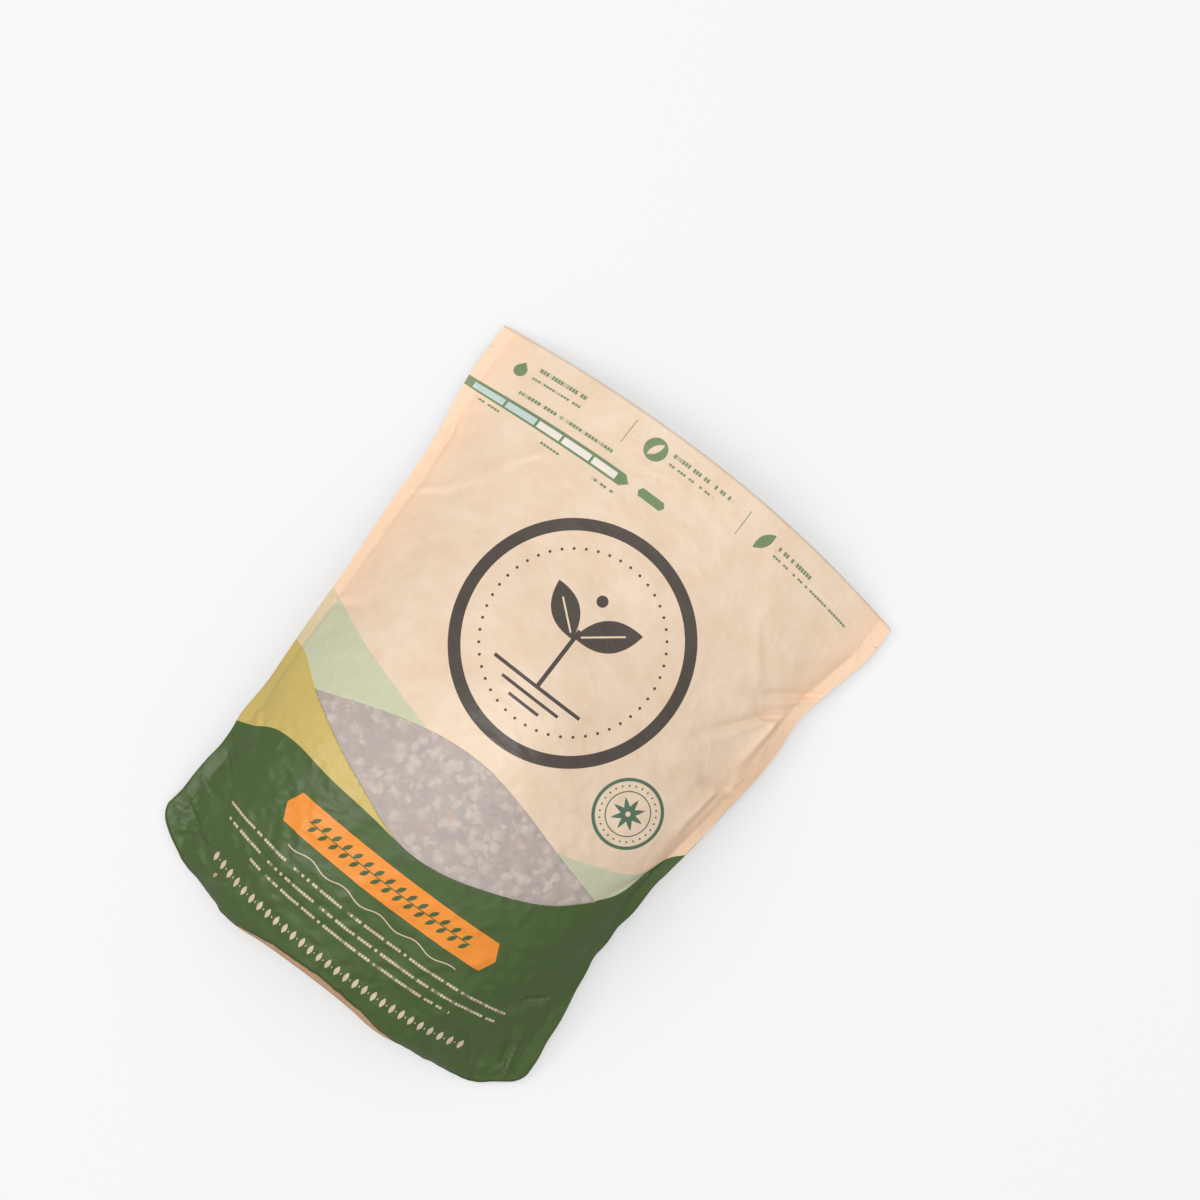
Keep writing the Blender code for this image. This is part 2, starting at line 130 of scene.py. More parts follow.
# Photograph: straight down from this height, the long side leaning to the right
CAMERA_HEIGHT = 1.30
CAMERA_LENS = 76.5
CAMERA_LEAN = 37.7
PICTURE_CENTRE = (-3.5 * MM, 75.9 * MM)


def srgb(code):
    """A linear colour from an sRGB hex code."""
    parts = [int(code[i:i + 2], 16) / 255 for i in (1, 3, 5)]
    linear = [c / 12.92 if c <= 0.04045 else ((c + 0.055) / 1.055) ** 2.4 for c in parts]
    return (*linear, 1.0)


def smooth_through(stops, place):
    """A smooth curve through (place, value) stops, in metres from millimetres."""
    x = np.array([stop[0] for stop in stops], float) * MM
    y = np.array([stop[1] for stop in stops], float) * MM
    steps = np.diff(y) / np.diff(x)
    slopes = np.concatenate(([steps[0]], (steps[1:] + steps[:-1]) / 2, [steps[-1]]))
    place = np.clip(place, x[0], x[-1])
    k = np.clip(np.searchsorted(x, place, side="right") - 1, 0, len(x) - 2)
    h = x[k + 1] - x[k]
    t = (place - x[k]) / h
    return ((1 + 2 * t) * (1 - t) ** 2 * y[k] + t * (1 - t) ** 2 * h * slopes[k]
            + t * t * (3 - 2 * t) * y[k + 1] + t * t * (t - 1) * h * slopes[k + 1])


def ease_between(stops, share):
    """A value that eases between (share, value) stops."""
    share = np.asarray(share, float)
    value = np.full(share.shape, float(stops[0][1]))
    for (start, low), (end, high) in zip(stops, stops[1:]):
        t = np.clip((share - start) / (end - start), 0, 1)
        value = np.where(share > start, low + (high - low) * t * t * (3 - 2 * t), value)
    return value


def by_side(across, left, right):
    """Picks the left or the right side's value, blended over the middle of the bag."""
    blended_width = 0.6
    t = np.clip(across / blended_width + 0.5, 0, 1)
    t = t * t * (3 - 2 * t)
    return left * (1 - t) + right * t


def open_reach(share):
    """Share of the half width that is open: the lower corners are sealed into flat ears."""
    return EAR_REACH + (1 - EAR_REACH) * np.sqrt(np.clip(share * SEAM_LENGTH / EAR_HEIGHT, 0, 1))


def quarter_turn(across, share):
    """Angle of a column: 0 in the middle, a right angle where the pocket closes."""
    return np.radians(90) * np.minimum(1, np.abs(across) / open_reach(share))


def seam_height(across, share):
    """Height at which the two panels are sealed to each other at the nearer side."""
    place = share * SEAM_LENGTH
    return by_side(across, smooth_through(LEFT_SEAM, place), smooth_through(RIGHT_SEAM, place))


def seal_droop(across, share):
    """How far the seal's outer edge hangs below its inner one."""
    tight = ease_between(LEFT_DROOP, share)
    slack = ease_between(RIGHT_DROOP, share)
    return np.minimum(MOST_DROOP, by_side(across, tight, slack) * seam_height(across, share))


def plan_x(across, share):
    """X of a column; past 1 the column lies in the side seal."""
    place = share * SEAM_LENGTH
    outer = by_side(across, smooth_through(LEFT_EDGE, place), smooth_through(RIGHT_EDGE, place))
    run = np.sqrt(SIDE_SEAL ** 2 - seal_droop(across, share) ** 2)
    size = (outer - run) * np.sin(np.radians(90) * np.minimum(1, np.abs(across)))
    return np.sign(across) * (size + run * np.maximum(0, np.abs(across) - 1))


def lower_edge(across, front):
    """Y of a panel's lower edge, with its rounded corners."""
    outward = np.abs(plan_x(across, 0 * across)) / FOOT_HALF_WIDTH
    y = SKIRT_Y + CORNER_SET_BACK * outward ** CORNER_POWER
    y = y + smooth_through(FOOT_WAVE, plan_x(across, 0 * across))
    reach = np.clip(CORNER_RADIUS - SIDE_SEAL * (2 - np.maximum(1, np.abs(across))), 0, CORNER_RADIUS)
    y = y + CORNER_RADIUS - np.sqrt(CORNER_RADIUS ** 2 - reach ** 2)
    if front:
        y = y + FRONT_SET_BACK * np.maximum(0, 1 - (outward / EAR_REACH) ** 2) ** FRONT_SET_BACK_POWER
    return y


def mouth_edge(across, front):
    """Y of a panel's edge at the mouth."""
    outward = np.abs(plan_x(across, 0 * across + 1)) / MOUTH_HALF_WIDTH
    y = MOUTH_Y - by_side(across, LEFT_MOUTH_BOW, RIGHT_MOUTH_BOW) * outward ** 2
    if not front:
        y = y - BACK_MOUTH_SET_BACK * (1 - outward ** 2)
    return y


def front_base(across, share):
    """The front panel's inner face before its creases."""
    arch = np.cos(quarter_turn(across, share)) ** ease_between(ARCH_POWER, share)
    seam = seam_height(across, share)
    z = seam + (smooth_through(CROWN, share * SEAM_LENGTH) - seam) * arch + SEAL_LIFT
    z = z - seal_droop(across, share) * np.maximum(0, np.abs(across) - 1)
    low = lower_edge(across, True)
    return np.stack((plan_x(across, share), low + (mouth_edge(across, True) - low) * share, z), -1)


def back_base(across, share):
    """The back panel's inner face: flat on the floor, then turned up to the seam."""
    flat = ease_between(BACK_FLAT_SHARE, share)
    past_flat = np.maximum(0, np.sin(quarter_turn(across, share)) - flat) / (1 - flat)
    seam = seam_height(across, share) - SEAL_LIFT
    z = FILM + (seam - FILM) * past_flat ** BACK_TURN_UP_POWER
    z = z - seal_droop(across, share) * np.maximum(0, np.abs(across) - 1)
    low = lower_edge(across, False)
    return np.stack((plan_x(across, share), low + (mouth_edge(across, False) - low) * share, z), -1)


# Creases of the front panel, seen from above, in millimetres: the line's points, how deep or
# high it is, how wide it is, and how much of the printed face is rubbed pale along it. A crease is
# sharpest at its first point and fans out towards its last
CREASES = (
    (((117, 107), (104, 98), (90, 88), (78, 82)), -4.0, 4.2, 0.2),
    (((104, 84), (97, 79), (86, 65), (73, 50)), -4.2, 3.6, 0.5),
    (((105, 84), (103, 66), (102, 48)), 2.6, 4.5, 0.7),
    (((107, 40), (99, 38), (90, 35)), -3.4, 4.5, 0.6),
    (((101, 36), (97, 15), (96, -8)), 1.8, 3.5, 0.6),
    (((100, -14), (93, -30), (86, -44)), -2.4, 5.0, 0.3),
    (((103, -60), (92, -74), (78, -82)), -2.0, 6.0, 0.1),
    (((101, -96), (90, -104), (80, -120)), -2.6, 5.0, 0.4),
    (((105, -145), (100, -130), (93, -112)), 3.2, 4.0, 0.4),
    (((88, -150), (80, -136), (66, -128)), -2.2, 5.0, 0.2),
    (((-2.5, -156), (1, -150), (5, -146)), -2.0, 2.0, 0.0),
    (((-107, -132), (-94, -138), (-80, -147)), -3.0, 3.6, 0.3),
    (((-108, -118), (-97, -121), (-84, -132)), 2.2, 3.5, 0.3),
    (((-104, -100), (-92, -112), (-85, -126)), -2.0, 5.0, 0.2),
    (((-106, -70), (-96, -84), (-90, -98)), 1.6, 5.0, 0.1),
    (((-108, -7), (-101, -2), (-92, 3)), -2.0, 3.0, 0.2),
    (((-117, 104), (-114, 92), (-117, 80)), -2.0, 4.0, 0.1),
    (((-112, 60), (-96, 72), (-80, 92)), -1.1, 7.0, 0.0),
    (((-70, 118), (-84, 98), (-92, 80)), 0.9, 7.0, 0.0),
    (((64, 118), (80, 96), (96, 84)), 0.9, 7.0, 0.0),
    (((40, -120), (60, -104), (72, -84)), -0.7, 8.0, 0.0),
    (((-58, -120), (-66, -100), (-70, -80)), -0.6, 8.0, 0.0),
    (((-113, -139), (-104, -137), (-98, -128)), 2.4, 3.0, 0.3),
    (((-101, -151), (-94, -144), (-80, -141), (-66, -144)), -2.0, 3.0, 0.2),
    (((-76, -156), (-66, -150), (-50, -149)), 1.6, 3.0, 0.2),
    (((94, -156), (90, -144), (91, -132)), -2.0, 3.0, 0.2),
)

# Across a crease, in millimetres: half the width of its sharp valley, how far beside it the ridge
# stands, and half the width of the rubbed line
FOLD_WIDTH = 1.9
FOLD_STEP = 3.2
RUB_WIDTH = 0.8

# Shares of a crease's depth: the soft dent, the valley and the ridge
DENT_SHARE = 0.55
VALLEY_SHARE = 0.5
RIDGE_SHARE = 0.4

# Along a crease: its depth at the first point, how soon it is fully deep, how it dies out, and how
# it fans out; DENT_REACH is how far the soft dent spreads, in widths
CREASE_START, CREASE_GROWTH, CREASE_END_POWER = 0.3, 5, 0.7
FAN_START, FAN_GROWTH = 0.6, 1.1
DENT_REACH = 1.4

# Share of a crease's depth that is lost at a seal's outer edge, where the film is double
SEAL_STIFFNESS = 0.8

# Unevenness of the front panel, as (height, distance between its forms), in millimetres
SAG_HEIGHT, SAG_SIZE = 1.9, 62
DIMPLE_HEIGHT, DIMPLE_SIZE = 0.45, 26
SEAM_WAVE_HEIGHT, SEAM_WAVE_SIZE = 1.0, 17
CRUMPLE_HEIGHT, CRUMPLE_SIZE = 0.95, 21
CRUMPLE_ALONG = ((0, 1.5), (0.16, 1.1), (0.4, 0.3), (0.8, 0.2), (1, 0.12))
CRUMPLE_POWER = 1.4

# How the sag and the crumples are drawn out along the bag: below 1 is longer
SAG_DRAWN = (1, 0.6, 1)
CRUMPLE_DRAWN = (1, 1.15, 1)

# How soon each grows away from a side seal, and what is left of the last two at the seal itself
SAG_GROWTH, DIMPLE_GROWTH, SEAM_WAVE_GROWTH, CRUMPLE_GROWTH = 6, 8, 30, 20
SEAM_WAVE_LEAST, CRUMPLE_LEAST = 0.25, 0.15

# How far the seam's waves reach into the pocket, as a share of the half width, and how they die out
SEAM_WAVE_REACH, SEAM_WAVE_POWER = 0.16, 1.3

# The ends hold every lift in: over which share of the length, and what is left at the edge itself
FOOT_HOLD, FOOT_LEAST = 0.03, 0.5
MOUTH_HOLD, MOUTH_LEAST = 0.06, 0.2


def distance_to_line(x, y, points):
    """Distance of each place to a polyline, below zero on its right, and how far along it lies."""
    points = np.array(points, float)
    lengths = np.hypot(*np.diff(points, axis=0).T)
    best = np.full(x.shape, 1e9)
    along = np.zeros(x.shape)
    side = np.ones(x.shape)
    done = 0.0
    for (ax, ay), (bx, by), length in zip(points, points[1:], lengths):
        t = ((x - ax) * (bx - ax) + (y - ay) * (by - ay)) / length ** 2
        held = np.clip(t, 0, 1)
        away = np.hypot(x - ax - held * (bx - ax), y - ay - held * (by - ay))
        nearer = away < best
        best = np.where(nearer, away, best)
        side = np.where(nearer, np.sign((bx - ax) * (y - ay) - (by - ay) * (x - ax)), side)
        along = np.where(nearer, (done + held * length) / lengths.sum(), along)
        done += length
    return best * side, along


def noise_at(points, size, seed, octaves=2):
    """Smooth noise from -1 to 1 at each point, with features of a size in millimetres."""
    shift = Vector((seed * 7.3, seed * 3.1, seed * 5.7))
    scale = 1 / (size * MM)
    values = [noise.fractal(Vector(p) * scale + shift, 0.6, 2.0, octaves) for p in points.tolist()]
    return np.array(values)


def crease_front(flat, across, share):
    """Lift of the film off its plain form, and how rubbed it is there."""
    x, y = flat[:, 0] / MM, flat[:, 1] / MM
    lift = np.zeros(len(x))
    rub = np.zeros(len(x))
    for line, depth, width, worn in CREASES:
        signed, along = distance_to_line(x, y, line)
        away = np.abs(signed)
        grown = np.clip(along * CREASE_GROWTH + CREASE_START, 0, 1)
        fade = grown * (1 - along) ** CREASE_END_POWER
        spread = FAN_START + FAN_GROWTH * along
        valley = np.exp(-(signed / (FOLD_WIDTH * spread)) ** 2)
        ridge = np.exp(-((signed - FOLD_STEP * spread) / (FOLD_WIDTH * spread)) ** 2)
        dent = np.exp(-away / (DENT_REACH * width))
        lift += depth * (DENT_SHARE * dent + VALLEY_SHARE * valley - RIDGE_SHARE * ridge) * fade
        rub = np.maximum(rub, worn * np.exp(-(away / RUB_WIDTH) ** 2) * fade)
    # The sealed bands are stiffer than the pocket
    lift *= 1 - SEAL_STIFFNESS * np.clip(np.abs(across) - 1, 0, 1)
    plan = np.stack((flat[:, 0], flat[:, 1], 0 * x), -1)
    inner = np.clip(1 - np.abs(across), 0, 1)
    sag = noise_at(plan * SAG_DRAWN, SAG_SIZE, 1)
    dimples = noise_at(plan, DIMPLE_SIZE, 2)
    lift += SAG_HEIGHT * sag * np.clip(inner * SAG_GROWTH, 0, 1)
    lift += DIMPLE_HEIGHT * dimples * np.clip(inner * DIMPLE_GROWTH, 0, 1)
    # The seams wave up and down, each side in its own way
    at_seam = np.exp(-(inner / SEAM_WAVE_REACH) ** SEAM_WAVE_POWER)
    at_seam = at_seam * np.clip(inner * SEAM_WAVE_GROWTH, SEAM_WAVE_LEAST, 1)
    side = np.where(across < 0, 3.0, 8.0)
    wave = noise_at(np.stack((0 * y, flat[:, 1], side * MM), -1), SEAM_WAVE_SIZE, 4)
    lift += SEAM_WAVE_HEIGHT * wave * at_seam
    # Crumples fade out from the foot to the mouth, and every lift is held in at both ends
    ridged = 1 - np.abs(noise_at(plan * CRUMPLE_DRAWN, CRUMPLE_SIZE, 5, 3)) * 2
    crumple = ease_between(CRUMPLE_ALONG, share) * np.clip(inner * CRUMPLE_GROWTH, CRUMPLE_LEAST, 1)
    lift += CRUMPLE_HEIGHT * np.clip(ridged, 0, 1) ** CRUMPLE_POWER * crumple
    at_foot = np.clip(share / FOOT_HOLD, FOOT_LEAST, 1)
    at_mouth = np.clip((1 - share) / MOUTH_HOLD, MOUTH_LEAST, 1)
    return lift * (at_foot * at_mouth) * MM, np.clip(rub, 0, 1)


def panel_columns(count, band):
    """Columns of a panel, wider apart towards the pocket's steep sides, and some in each seal band."""
    even = np.linspace(-1, 1, count + 1)
    pocket = (even + np.arcsin(even) / np.radians(90)) / 2
    seal = 1 + np.sin(np.linspace(0, np.pi / 2, band + 1))[1:]
    return np.concatenate((-seal[::-1], pocket, seal))


def grid_sheet(name, columns, rows):
    """A grid primitive whose vertices are named by their column and row."""
    bpy.ops.mesh.primitive_grid_add(x_subdivisions=len(columns) - 1, y_subdivisions=len(rows) - 1,
                                    size=2, calc_uvs=True)
    piece = bpy.context.object
    piece.name = name
    piece.data.name = name
    places = np.zeros(len(piece.data.vertices) * 3)
    piece.data.vertices.foreach_get("co", places)
    places = places.reshape(-1, 3)
    i = np.rint((places[:, 0] + 1) / 2 * (len(columns) - 1)).astype(int)
    j = np.rint((places[:, 1] + 1) / 2 * (len(rows) - 1)).astype(int)
    return piece, np.asarray(columns)[i], np.asarray(rows)[j]


def place_vertices(piece, points):
    """Moves all of a piece's vertices."""
    piece.data.vertices.foreach_set("co", np.asarray(points, np.float32).ravel())
    piece.data.update()


def keep_values(piece, name, values):
    """Stores one number a vertex for the material to read."""
    layer = piece.data.attributes.new(name, "FLOAT", "POINT")
    layer.data.foreach_set("value", np.asarray(values, np.float32))


def film_uv(piece, across, share):
    """Writes the film's own coordinates: across the bag, and along it."""
    corner = np.zeros(len(piece.data.loops), int)
    piece.data.loops.foreach_get("vertex_index", corner)
    uv = np.stack((across[corner] / 4 + 0.5, share[corner]), -1)
    piece.data.uv_layers.active.data.foreach_set("uv", uv.astype(np.float32).ravel())
    piece.data.uv_layers.active.name = "film"


def apply_modifier(piece, kind, **settings):
    """Adds a modifier, sets it and applies it."""
    modifier = piece.modifiers.new(kind.title(), kind)
    for key, value in settings.items():
        setattr(modifier, key, value)
    bpy.context.view_layer.objects.active = piece
    bpy.ops.object.modifier_apply(modifier=modifier.name)


def finish(piece, node, slot, *materials):
    """Smooth shading, its materials and its body, and hides the CAD node it stands for; slot is not
    used.
    """
    for material in materials:
        piece.data.materials.append(material)
    piece.data.shade_smooth()
    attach(piece, "root")
    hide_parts(node)
    bpy.ops.object.select_all(action="DESELECT")
    return piece


def normals_of(function, across, share):
    """Unit normals of a sheet, by small steps along its column and row."""
    step = 0.002
    ahead = function(across, np.minimum(1, share + step))
    ahead = ahead - function(across, np.maximum(0, share - step))
    aside = function(across + step, share) - function(across - step, share)
    normal = np.cross(aside, ahead)
    return normal / np.linalg.norm(normal, axis=1, keepdims=True)


# How upright the film lifts, over its place across the bag
UPRIGHT_SHARE = ((0.72, 0), (0.93, 1))


def lift_direction(across, share):
    """Way in which the film lifts: off its face, and straight up towards the side seals."""
    upright = ease_between(UPRIGHT_SHARE, np.abs(across))[:, None]
    way = normals_of(front_base, across, share) * (1 - upright) + np.array((0, 0, 1)) * upright
    return way / np.linalg.norm(way, axis=1, keepdims=True)


def front_surface(across, share):
    """The creased front panel's inner face, and how rubbed it is."""
    flat = front_base(across, share)
    lift, rub = crease_front(flat, across, share)
    return flat + lift_direction(across, share) * lift[:, None], rub


# The back follows the front's creases where the two lie less than PARTED apart, and its own
# unevenness begins where it has turned up by CLEAR_OF_FLOOR
PARTED = 8 * MM
PARTING_BLEND = 5.5 * MM
CLEAR_OF_FLOOR = 2 * MM
TURNED_UP_BLEND = 8 * MM
BACK_WAVE_HEIGHT, BACK_WAVE_SIZE = 0.9, 22


def back_surface(across, share):
    """The back panel's inner face: it follows the front's creases where the two lie together."""
    flat = back_base(across, share)
    cover = front_base(across, share)
    together = np.clip((PARTED - (cover[:, 2] - flat[:, 2])) / PARTING_BLEND, 0, 1)
    lift = crease_front(cover, across, share)[0] * together
    turned_up = np.clip((flat[:, 2] - CLEAR_OF_FLOOR) / TURNED_UP_BLEND, 0, 1) * (1 - together)
    own = noise_at(flat, BACK_WAVE_SIZE, 9) * BACK_WAVE_HEIGHT * MM * turned_up
    points = flat + lift_direction(across, share) * lift[:, None]
    points = points + normals_of(back_base, across, share) * own[:, None]
    points[:, 2] = np.maximum(points[:, 2], FILM)
    return points


# The clear window seen from above, in millimetres: its long edges between its two pointed tips
WINDOW_LOWER_EDGE = ((-87.6, -44.4), (-76.7, -49.8), (-57.7, -58.4), (-36.4, -66.6), (-9.3, -75.6),
                     (12.4, -75.4), (41.3, -68.1), (70, -55.9), (85.9, -43))
WINDOW_UPPER_EDGE = ((-87.6, -44.4), (-51.9, -30), (-29.3, -23.7), (-10.5, -21), (5.6, -21.4),
                     (24.4, -24.9), (55, -33.9), (85.9, -43))
WINDOW_STEPS = 40
WINDOW_MARGIN = 4 * MM
PRISM_DEPTH = 60 * MM
PRISM_MIDDLE = 62 * MM


def window_prism(name, margin):
    """An upright prism over the window, to cut the film with."""
    bpy.ops.mesh.primitive_cylinder_add(vertices=2 * WINDOW_STEPS, radius=1, depth=PRISM_DEPTH,
                                        location=(0, 0, PRISM_MIDDLE))
    prism = bpy.context.object
    prism.name = name
    bpy.ops.object.transform_apply(location=True, rotation=True, scale=True)
    left = WINDOW_LOWER_EDGE[0][0] * MM - margin
    right = WINDOW_LOWER_EDGE[-1][0] * MM + margin
    for vertex in prism.data.vertices:
        turn = math.degrees(math.atan2(vertex.co.x, vertex.co.y)) % 360
        step = round(turn / 360 * 2 * WINDOW_STEPS)
        upper = step <= WINDOW_STEPS
        along = step / WINDOW_STEPS if upper else 2 - step / WINDOW_STEPS
        vertex.co.x = left + (right - left) * along
        inner = min(max(vertex.co.x, left + margin), right - margin)
        bulge = math.sin(math.pi * along) ** 0.5 if margin else 0
        if upper:
            vertex.co.y = float(smooth_through(WINDOW_UPPER_EDGE, inner)) + margin * bulge
        else:
            vertex.co.y = float(smooth_through(WINDOW_LOWER_EDGE, inner)) - margin * bulge
    prism.data.update()
    return prism


def cut_with(piece, cutter, operation):
    """Cuts a piece with a cutter and removes the cutter."""
    apply_modifier(piece, "BOOLEAN", operation=operation, object=cutter, solver="EXACT")
    bpy.data.objects.remove(cutter)


# Tear notches: how far below the mouth, and how deep
NOTCH_PLACE = 12.5 * MM
NOTCH_SIZE = 1.6 * MM


def notch_pin(side):
    """A small upright wedge that tears the starting notch into one side seal."""
    edge = front_base(np.array([side * 2.0]), np.array([1 - NOTCH_PLACE / SEAM_LENGTH]))[0]
    bpy.ops.mesh.primitive_cylinder_add(vertices=3, radius=NOTCH_SIZE, depth=20 * MM, location=edge,
                                        rotation=(0, 0, side * math.radians(90)))
    return bpy.context.object


def join_cutters(*cutters):
    """Joins separate cutters into one object."""
    bpy.ops.object.select_all(action="DESELECT")
    for cutter in cutters:
        cutter.select_set(True)
    bpy.context.view_layer.objects.active = cutters[0]
    bpy.ops.object.join()
    return bpy.context.object


def make_front(film, inside):
    """The printed front panel, with its window opening and tear notches."""
    columns = panel_columns(count=164, band=8)
    in_seal = np.linspace(SEAL_SHARE / 4, SEAL_SHARE, 4)
    rows = np.concatenate(([0], in_seal, np.linspace(SEAL_SHARE, 1, 222)[1:]))
    piece, across, share = grid_sheet("front_film", columns, rows)
    points, rub = front_surface(across, share)
    place_vertices(piece, points)
    film_uv(piece, across, share)
    keep_values(piece, "rub", rub)
    apply_modifier(piece, "SOLIDIFY", thickness=FILM, offset=1, material_offset=1,
                   material_offset_rim=0)
    cutter = join_cutters(window_prism("window_cut", 0), notch_pin(-1), notch_pin(1))
    cut_with(piece, cutter, "DIFFERENCE")
    return finish(piece, "front_panel", "kraft_film", film, inside)


def make_back(film, inside):
    """The back panel, flat on the floor and turned up at its sides."""
    columns = panel_columns(count=110, band=6)
    rows = np.linspace(0, 1, 150)
    piece, across, share = grid_sheet("back_film", columns, rows)
    place_vertices(piece, back_surface(across, share))
    film_uv(piece, across, share)
    apply_modifier(piece, "SOLIDIFY", thickness=FILM, offset=-1, material_offset=1,
                   material_offset_rim=0)
    cut_with(piece, join_cutters(notch_pin(-1), notch_pin(1)), "DIFFERENCE")
    return finish(piece, "back_panel", "kraft_film", film, inside)


# Bottom web: its end as a share of the half width, how deep it folds in, its gap to the panels
GUSSET_END = 0.60
GUSSET_DEPTH = 30 * MM
GUSSET_GAP = 0.06 * MM
GUSSET_CRUMPLE_HEIGHT, GUSSET_CRUMPLE_SIZE = 1.3, 24


def gusset_surface(across, step):
    """The bottom web: steps 0 to 1 lie on the front seal and 2 to 3 on the back seal."""
    front_share = np.clip(step, 0, 1) * SEAL_SHARE
    back_share = np.clip(3 - step, 0, 1) * SEAL_SHARE
    top, _ = front_surface(across, front_share)
    top = top - normals_of(front_base, across, front_share) * GUSSET_GAP
    low = back_surface(across, back_share) + normals_of(back_base, across, back_share) * GUSSET_GAP
    opening = np.cos(np.radians(90) * np.minimum(1, np.abs(across) / EAR_REACH))
    fold = np.zeros(top.shape)
    fold[:, 1] = GUSSET_DEPTH * 4 / 3 * opening
    t = np.clip(step - 1, 0, 1)[:, None]
    web = (top * (1 - t) ** 3 + (top + fold) * 3 * t * (1 - t) ** 2
           + (low + fold) * 3 * t * t * (1 - t) + low * t ** 3)
    crumple = noise_at(web * (1, 1, 0.8), GUSSET_CRUMPLE_SIZE, 12) * GUSSET_CRUMPLE_HEIGHT * MM
    web[:, 1] += crumple * np.sin(np.pi * t[:, 0]) * opening
    return web


def make_gusset(tan):
    """The tan web folded in between the panels at the lower end."""
    columns = np.linspace(-GUSSET_END, GUSSET_END, 121)
    steps = np.concatenate((np.linspace(0, 1, 5), np.linspace(1, 2, 34)[1:-1], np.linspace(2, 3, 5)))
    piece, across, step = grid_sheet("bottom_web", columns, steps)
    place_vertices(piece, gusset_surface(across, step))
    film_uv(piece, across, step / 3)
    apply_modifier(piece, "SOLIDIFY", thickness=FILM, offset=-1)
    return finish(piece, "bottom_gusset", "tan_film", tan)


# Clear film: the part of the bag it is taken from, as shares, its thickness and its gap
WINDOW_ACROSS = 0.74
WINDOW_ALONG = (0.19, 0.50)
CLEAR_FILM = 0.12 * MM
CLEAR_GAP_IN_MM = 0.04


def make_window(clear):
    """The clear film behind the window opening."""
    columns = np.linspace(-WINDOW_ACROSS, WINDOW_ACROSS, 112)
    rows = np.linspace(*WINDOW_ALONG, 64)
    piece, across, share = grid_sheet("clear_window", columns, rows)
    points, _ = front_surface(across, share)
    points = points - normals_of(front_base, across, share) * CLEAR_GAP_IN_MM * MM
    place_vertices(piece, points)
    film_uv(piece, across, share)
    apply_modifier(piece, "SOLIDIFY", thickness=CLEAR_FILM, offset=-1)
    cut_with(piece, window_prism("window_trim", WINDOW_MARGIN), "INTERSECT")
    return finish(piece, "window_film", "clear_film", clear)


# Zip: how far below the mouth, its reach as a share of the half width, its wall and its gap, and
# its section as (place along the bag, height), in millimetres
ZIP_PLACE = 30 * MM
ZIP_REACH = 0.71
ZIP_WALL = 0.35 * MM
ZIP_GAP = 0.15 * MM
ZIP_PROFILE = ((-5, 0), (-4.6, 0.25), (-1.6, 0.25), (-1.3, 1.1), (-0.5, 1.1), (-0.2, 0.25),
               (0.6, 0.25), (0.9, 0.9), (1.6, 0.9), (1.9, 0.25), (4.6, 0.25), (5, 0))


def make_zip(name, function, node, side, plastic):
    """One strip of the press-to-close zip, with its rib and its bead."""
    columns = np.linspace(-ZIP_REACH, ZIP_REACH, 141)
    lines = np.array([p[0] for p in ZIP_PROFILE]) * MM
    rise = {round(p[0] * MM, 6): p[1] * MM for p in ZIP_PROFILE}
    piece, across, line = grid_sheet(name, columns, lines)
    share = 1 - (ZIP_PLACE - line) / SEAM_LENGTH
    height = np.array([rise[round(value, 6)] for value in line]) + ZIP_GAP
    base = front_surface(across, share)[0] if side < 0 else back_surface(across, share)
    place_vertices(piece, base + normals_of(function, across, share) * (side * height)[:, None])
    film_uv(piece, across, share)
    apply_modifier(piece, "SOLIDIFY", thickness=ZIP_WALL, offset=-side)
    return finish(piece, node, "zip_plastic", plastic)


# Mix: its toe, measured from the mouth, its slope, the share of the half width that it fills, and
# its lumps; then how far the grains' tops and the bed of fines lie under the film, and how far the
# bed lies over the back
MIX_TOE_PLACE = 40 * MM
MIX_TOE_Y = MOUTH_Y - MIX_TOE_PLACE
MIX_TOE_HEIGHT = 2.5 * MM
MIX_SLOPE = math.tan(math.radians(31))
MIX_REACH = ((0.33, 0.90), (1, 0.66))
MIX_LUMP_HEIGHT, MIX_LUMP_SIZE = 1.6, 15
MIX_FOOT_SHARE = 0.135
GRAIN_GAP = 0.35 * MM
BED_GAP = 3.4 * MM
BED_FLOOR_GAP_IN_MM = 0.5


def mix_width(share):
    """Share of the half width that the mix fills: less towards its toe."""
    return ease_between(MIX_REACH, share)


def mix_top(across, share, gap):
    """Top of the mix: against the front panel, then its own slope down to the toe."""
    points, _ = front_surface(across, share)
    points = points - normals_of(front_base, across, share) * gap
    slope = MIX_TOE_HEIGHT + np.maximum(0, MIX_TOE_Y - points[:, 1]) * MIX_SLOPE
    lumps = noise_at(points * (1, 1, 0), MIX_LUMP_SIZE, 21) * MIX_LUMP_HEIGHT * MM
    lumps = lumps * np.clip((points[:, 2] - slope) / (3 * MM), 0, 1)
    points[:, 2] = np.minimum(points[:, 2], slope + lumps)
    return points


